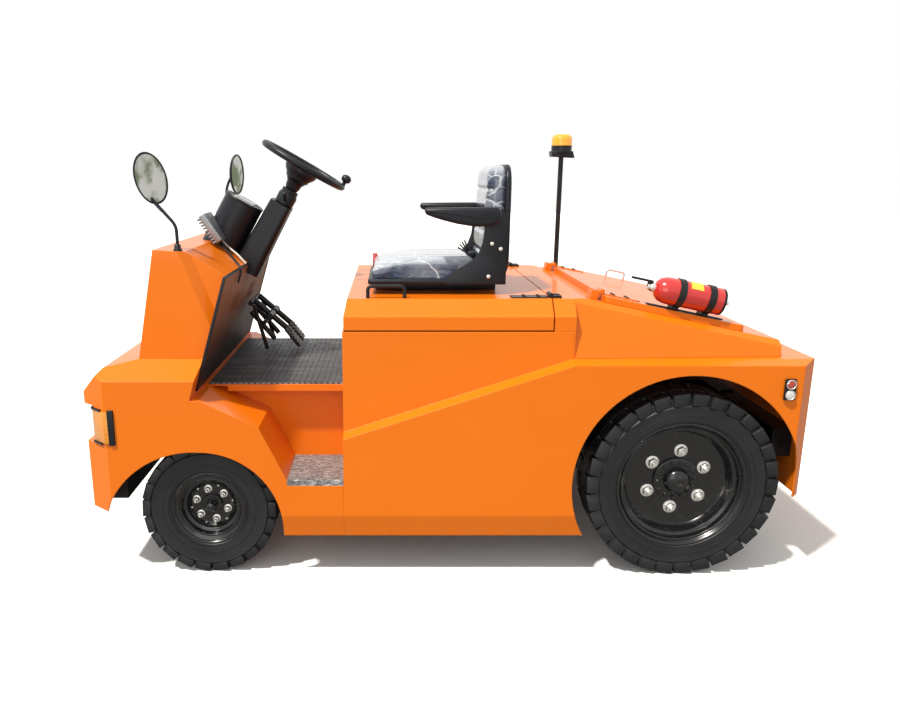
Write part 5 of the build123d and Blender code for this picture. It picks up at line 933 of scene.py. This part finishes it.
lying = Matrix((ALONG, Vector((0, 1, 0)), UP)).transposed().to_4x4() @ Matrix.Rotation(pi / 2, 4, "Y")
BOTTLE_AT = Matrix.Translation(on_hood(-0.915, 0.555, 0.068)) @ lying
shell = turned([(0.040, -0.134), (0.050, -0.130), (0.0518, -0.118), (0.0518, 0.080), (0.0500, 0.098),
                (0.0430, 0.118), (0.0300, 0.131), (0.0170, 0.136), (0.0150, 0.140)],
               cap_first=True, cap_last=True)
on_bottle(shell, "bottle", BOTTLE, 40, ("extinguisher",))
label = turned([(0.0520, -0.036), (0.0523, -0.036), (0.0523, 0.012), (0.0520, 0.012)])
grab(label)
bpy.ops.object.mode_set(mode="EDIT")
pick(label, lambda centre, normal: centre.x > -0.030)
bpy.ops.mesh.delete(type="FACE")
bpy.ops.object.mode_set(mode="OBJECT")
on_bottle(label, "bottle_band", YELLOW)
ring = turned([(0.0410, -0.1345), (0.0505, -0.131), (0.0523, -0.124), (0.0519, -0.121)], cap_first=True)
on_bottle(ring, "bottle_base", PLASTIC)
valve = turned([(0.0160, 0.136), (0.0160, 0.150), (0.0120, 0.154), (0.0120, 0.166)], 32, cap_last=True)
on_bottle(valve, "bottle_valve", ZINC)
lever = block((0.009, 0.016, 0.086), (-0.022, 0, 0.190))
grip = block((0.026, 0.014, 0.022), (-0.012, 0, 0.156))
gauge = turned([(0.011, 0.0), (0.011, 0.008), (0.009, 0.010)], 24, cap_last=True)
moved(gauge, Matrix.Translation((0.004, 0, 0.150)) @ Matrix.Rotation(-pi / 2, 4, "X"))
on_bottle(joined([lever, grip, gauge]), "bottle_lever", PLASTIC)
fitting = turned([(0.012, -0.1345), (0.012, -0.140), (0.017, -0.141), (0.017, -0.147), (0.008, -0.150),
                  (0.008, -0.158)], 24, cap_last=True)
on_bottle(fitting, "bottle_foot", ZINC)
on_bottle(block((0.006, 0.030, 0.300), (0.0635, 0, 0), 0.002, 2), "bottle_rail", CHASSIS)

# %% [markdown]
# Each tail lamp is a black oblong plate with a red lamp over a white one, each a low dome in a ring.

# %% Tail lamps
LAMP = middle_of("tail_lamp_left")
for side, word in SIDES:
    plate = block((0.044, 0.0125, 0.083), (LAMP.x, side * 0.7065, LAMP.z), 0.006, 4)
    settle(plate, f"lamp_plate_{word}", "chassis", PLASTIC, 32, (f"tail_lamp_{word}",))
    rings = []
    for up, material, name in ((0.0205, RED_LENS, "stop_lens"), (-0.0205, WHITE_LENS, "back_lens")):
        spot = outwards((LAMP.x, side * 0.700, LAMP.z + up), side)
        rings.append(moved(turned([(0.0185, 0.0125), (0.0185, 0.0155), (0.0165, 0.0165), (0.0150, 0.0150)], 40),
                           spot))
        dome = turned([(0.0152, 0.0125), (0.0150, 0.0148), (0.0120, 0.0164), (0.0060, 0.0172)], 40,
                      cap_last=True)
        settle(moved(dome, spot), f"{name}_{word}", "chassis", material, 60)
    settle(joined(rings), f"lamp_rings_{word}", "chassis", ZINC, 32)

# %% [markdown]
# A front lamp wraps its corner of the nose: an amber lens in the recess and round the corner's slant, a
# dark shade behind it on the side, and a thin frame over and under. All are outlines seen from above,
# made thick upwards. For the right side the outline is mirrored, which turns its faces inside out.

# %% Front lamps
LENS = [(1.352, 0.480), (1.362, 0.484), (1.362, 0.646), (1.358, 0.657), (1.3165, 0.6945), (1.3030, 0.7080),
        (1.2860, 0.7075), (1.2860, 0.7000), (1.3000, 0.6990), (1.3095, 0.6890), (1.351, 0.654)]
SHADE = [(1.2860, 0.7000), (1.2860, 0.7085), (1.2650, 0.7075), (1.2630, 0.7000)]
FRAME = [(1.352, 0.474), (1.366, 0.478), (1.366, 0.649), (1.361, 0.661), (1.3185, 0.6985), (1.3110, 0.6890),
         (1.351, 0.653)]
for side, word in SIDES:
    for outline, low, high, material, slot, name, node in (
            (LENS, 0.559, 0.685, AMBER, "amber_lens", "corner_lens", "lamp_lens"),
            (SHADE, 0.552, 0.692, PLASTIC, "black_plastic", "corner_shade", "lamp_bezel"),
            (FRAME, 0.685, 0.692, PLASTIC, "black_plastic", "frame_over", ""),
            (FRAME, 0.552, 0.559, PLASTIC, "black_plastic", "frame_under", "")):
        upright = Matrix(((1, 0, 0, 0), (0, 0, side, 0), (0, 1, 0, low), (0, 0, 0, 1)))
        shape = faced_out(moved(slab(outline, high - low, 0.0025), upright))
        settle(shape, f"{name}_{word}", "chassis", material, 40, (f"{node}_{word}",) if node else ())

# %% [markdown]
# Each mirror is an oval shell on a bent stalk: a turned case made oval and leant, with its glass let in
# on the side that faces the driver. The far one has been knocked round on its ball joint.

# %% Mirrors
def mirror(word, centre, face, lean, stalk):
    """A mirror that looks along face, on a stalk given by its points from the foot up."""
    face = Vector(face).normalized()
    across = Vector((0, 0, 1)).cross(face).normalized()
    turn = Matrix((across, face.cross(across), face)).transposed().to_4x4() @ Matrix.Rotation(lean, 4, "Z")
    place = Matrix.Translation(centre) @ turn
    oval = place @ Matrix.Diagonal((0.062, 0.098, 1, 1))
    case = turned([(0.55, -0.016), (0.80, -0.013), (0.95, -0.006), (1.0, 0.001), (0.99, 0.006), (0.93, 0.0065),
                   (0.915, 0.003)], cap_first=True)
    arm = bent_tube(stalk, 0.0065)
    foot = turned([(0.017, 0.0), (0.017, 0.006), (0.013, 0.010), (0.012, 0.022), (0.008, 0.026)], 32)
    moved(foot, Matrix.Translation(stalk[0]))
    ball = turned([(0.006, -0.034), (0.014, -0.030), (0.015, -0.020), (0.014, -0.012)], 24, cap_first=True)
    settle(joined([moved(case, oval), arm, foot, moved(ball, place)]), f"mirror_case_{word}", "chassis",
           PLASTIC, 50, (f"mirror_{word}",))
    glass = turned([(0.92, 0.003), (0.6, 0.0036), (0.2, 0.0040)], cap_last=True)
    settle(moved(glass, oval), f"mirror_face_{word}", "chassis", GLASS, 60,
           (f"mirror_glass_{word}",))


mirror("left", (1.096, 0.560, 1.541), (-0.62, 0.74, -0.10), radians(20),
       [(1.013, 0.560, 1.276), (1.012, 0.560, 1.330), (1.014, 0.560, 1.372), (1.050, 0.558, 1.412),
        (1.096, 0.554, 1.462), (1.120, 0.546, 1.500), (1.112, 0.541, 1.538)])
mirror("right", (0.982, -0.575, 1.552), (-0.93, 0.34, -0.08), radians(10),
       [(1.013, -0.560, 1.276), (1.013, -0.560, 1.340), (1.030, -0.562, 1.400), (1.040, -0.570, 1.460),
        (1.030, -0.580, 1.510), (1.010, -0.585, 1.545)])

# %% [markdown]
# The drive controller is a cast box that leans on the cowl beside the pod, with cooling fins along its
# front. Two leads run from its foot over the edge of the panel.

# %% Controller and leads
case = [block((0.030, 0.150, 0.132), (-0.008, 0, 0), 0.005)]
for step in range(9):
    case.append(block((0.016, 0.150, 0.0078), (0.012, 0, -0.056 + 0.014 * step), 0.0015, 2))
stand = Matrix.Translation((0.976, 0.100, 1.330)) @ Matrix.Rotation(radians(33), 4, "Y")
settle(moved(joined(case), stand), "controller_case", "chassis", CAST, 32, ("controller",))
BLACK_LEAD = [(0.945, 0.120, 1.285), (0.930, 0.150, 1.262), (0.905, 0.185, 1.248), (0.875, 0.230, 1.226),
              (0.852, 0.262, 1.207), (0.830, 0.285, 1.190), (0.826, 0.300, 1.160), (0.838, 0.310, 1.125)]
PALE_LEAD = [(0.942, 0.085, 1.282), (0.922, 0.090, 1.258), (0.895, 0.110, 1.240), (0.866, 0.135, 1.222),
             (0.845, 0.150, 1.203), (0.829, 0.158, 1.186)]
settle(bent_tube(BLACK_LEAD, 0.0045), "black_lead", "chassis", PLASTIC, 60)
settle(bent_tube(PALE_LEAD, 0.0045), "pale_lead", "chassis", SLEEVE, 60)

# %% [markdown]
# The pedals hang on long arms from a bracket on the panel, each with a ribbed pad near the mat.

# %% Pedals
for word, y in (("brake", -0.150), ("drive", -0.295)):
    arms = [rod((0.852, y, 0.985), (0.700, y, 0.850), 0.014), rod((0.868, y, 0.930), (0.760, y, 0.800), 0.012),
            rod((0.700, y, 0.850), (0.674, y, 0.805), 0.014),
            rod((0.775, y - 0.05, 0.912), (0.775, y + 0.05, 0.912), 0.018)]
    pad = [block((0.014, 0.100, 0.104))]
    for step in range(5):
        pad.append(block((0.005, 0.090, 0.007), (-0.009, 0, -0.036 + 0.018 * step), 0.002, 2))
    tilt = Matrix.Translation((0.672, y, 0.812)) @ Matrix.Rotation(radians(38), 4, "Y")
    settle(joined(arms + [moved(joined(pad), tilt)]), f"{word}_pedal_arm", "chassis", PLASTIC, 40,
           (f"pedal_{word}",))
bracket = [rod((0.860, -0.100, 0.975), (0.860, -0.350, 0.975), 0.012),
           rod((0.800, -0.110, 0.885), (0.800, -0.340, 0.885), 0.010),
           rod((0.845, -0.100, 0.968), (0.790, -0.100, 0.760), 0.009),
           rod((0.845, -0.345, 0.968), (0.790, -0.345, 0.760), 0.009)]
settle(joined(bracket), "pedal_bracket", "chassis", CHASSIS, 40)

# %% [markdown]
# The beacon's lens is a fluted drum. Its flutes are cut by scaling every second line of points
# inwards. The black base below is a stepped skirt on a wedge-shaped shoe.

# %% Beacon
POLE_X, POLE_Y = middle_of("beacon_lens").xy
FLUTES = 72
drum = turned([(0.0515, 0.0), (0.0510, 0.030), (0.0490, 0.042), (0.0400, 0.052), (0.0200, 0.0555)], FLUTES,
              cap_last=True)
for point in drum.data.vertices:
    if point.co.xy.length > 0.045:
        line = round(point.co.xy.angle_signed(Vector((1, 0))) * FLUTES / tau)
        point.co.xy *= 1.0 - 0.012 * (line % 2)
moved(drum, Matrix.Translation((POLE_X, POLE_Y, 1.691)))
settle(drum, "beacon_drum", "chassis", BEACON_AMBER, 50, ("beacon_lens",))
skirt = turned([(0.0500, 0.0), (0.0508, 0.004), (0.0508, 0.010), (0.0502, 0.012), (0.0508, 0.030),
                (0.0500, 0.0345)])
moved(skirt, Matrix.Translation((POLE_X, POLE_Y, 1.6555)))
shoe = slab([(-0.060, -0.020), (0.052, -0.014), (0.056, 0.012), (-0.050, 0.012)], 0.084, 0.004)
moved(shoe, Matrix.Translation((POLE_X, POLE_Y - 0.042, 1.652)))
settle(joined([skirt, shoe]), "beacon_skirt", "chassis", PLASTIC, 30)

# %% [markdown]
# Black edging runs up both sides of the kick panel and over its top, as on the real one. The strips are
# drawn upright and then leant together, so that they meet at the corners.

# %% Kick panel edging
FOOT = Vector((0.968, 0, 0.742))
TOP = Vector((0.835, 0, 1.184))
RISE = (TOP - FOOT).normalized()
OUT = Vector((-RISE.z, 0, RISE.x))
length = (TOP - FOOT).length - 0.006
lean = Matrix((OUT, Vector((0, 1, 0)), RISE)).transposed().to_4x4()
strips = [block((0.012, 0.006, length), (0, side * 0.6135, 0.002), 0.002) for side, word in SIDES]
strips.append(block((0.012, 1.230, 0.006), (0, 0, length / 2 + 0.0005), 0.002))
edging = moved(joined(strips), Matrix.Translation((FOOT + TOP) / 2 + OUT * 0.003) @ lean)
settle(edging, "kick_edging", "chassis", PLASTIC)

# %% [markdown]
# Domed bolt heads hold the hinge straps, two beside each other at two places on every strap. They ride
# on the lid and on the hood, as the straps do.

# %% Bolts
def bolts(name, body, spots, look):
    """Domed bolt heads at points, all looking the same way."""
    turn = Vector((0, 0, 1)).rotation_difference(Vector(look)).to_matrix().to_4x4()
    heads = []
    for spot in spots:
        head = turned([(0.0078, 0.0), (0.0078, 0.001), (0.006, 0.0015), (0.0054, 0.0040), (0.003, 0.0050)], 16,
                      cap_last=True)
        heads.append(moved(head, Matrix.Translation(spot) @ turn))
    settle(joined(heads), name, body, CHASSIS)


def strap_spots(places, apart):
    return [(x, side * apart + shift) for side, word in SIDES for x in places for shift in (0.017, -0.017)]


bolts("lid_strap_bolts", "lid", [(x, y, 1.104) for x, y in strap_spots((-0.355, -0.300), 0.545)], (0, 0, 1))
bolts("hood_strap_bolts", "hood", [on_hood(x, y, 0.004) for x, y in strap_spots((-0.655, -0.710), 0.485)], UP)

# %% [markdown]
# Plain pale floor and a plain white surround, as in the photograph. The floor shows white to the camera
# but grey to the light that bounces off it, and it keeps the tug's shadow. The sky does the same: white
# to be seen or mirrored, dimmer and warmer as light. A soft high sun and a side panel give the shapes.

# %% Floor, sky and lights
begin()
bpy.ops.mesh.primitive_plane_add(size=60, location=(0, 0, -0.001))
floor = bpy.context.object
floor.name = "pale_floor"
ground = Finish("pale_floor")
seen_tone = ground.mix(ground.noise(0.6, 2.0), (0.97, 0.97, 0.97), (1.0, 1.0, 1.0))
ground.set(Base_Color=ground.mix(ground.node("ShaderNodeLightPath"), (0.30, 0.30, 0.30), seen_tone),
           Roughness=0.9, Specular_IOR_Level=0.1)
floor.data.materials.append(ground.material)

world = bpy.data.worlds.new("pale_sky")
bpy.context.scene.world = world
world.use_nodes = True
sky = world.node_tree
sky.nodes.clear()
seen = add_node(sky, "ShaderNodeBackground", {"Color": (1, 1, 1)})
felt = add_node(sky, "ShaderNodeBackground", {"Color": (1.0, 0.975, 0.93), "Strength": 0.62})
camera_ray, glossy_ray, clear_ray = (add_node(sky, "ShaderNodeLightPath", out=f"Is {kind} Ray")
                                     for kind in ("Camera", "Glossy", "Transmission"))
direct = camera_ray.math("MAXIMUM", camera_ray.math("MAXIMUM", camera_ray, glossy_ray), clear_ray)
blend = add_node(sky, "ShaderNodeMixShader", {0: direct, 1: felt, 2: seen})
connect(sky, sky.nodes.new("ShaderNodeOutputWorld").inputs["Surface"], blend)


def lamp(name, kind, at, towards, energy, size, colour=(1, 1, 1)):
    """A light that looks at a point. Its size is an angle for a sun and a width for a panel."""
    data = bpy.data.lights.new(name, kind)
    data.energy = energy
    data.color = colour
    setattr(data, "angle" if kind == "SUN" else "size", size)
    item = bpy.data.objects.new(name, data)
    item.location = at
    item.rotation_euler = (Vector(towards) - Vector(at)).to_track_quat("-Z", "Y").to_euler()
    bpy.context.scene.collection.objects.link(item)
    print("light", name, "of strength", energy)


lamp("sun", "SUN", (2.5, 2.1, 6.2), (0, 0, 0.6), 4.3, radians(3), (1.0, 0.96, 0.86))
lamp("side_panel", "AREA", (1.5, 5.5, 2.2), (0, 0, 0.7), 45, 3.0)

# %% [markdown]
# The last cell says that the scene is ready.

# %% Finish
print("the scene is ready")
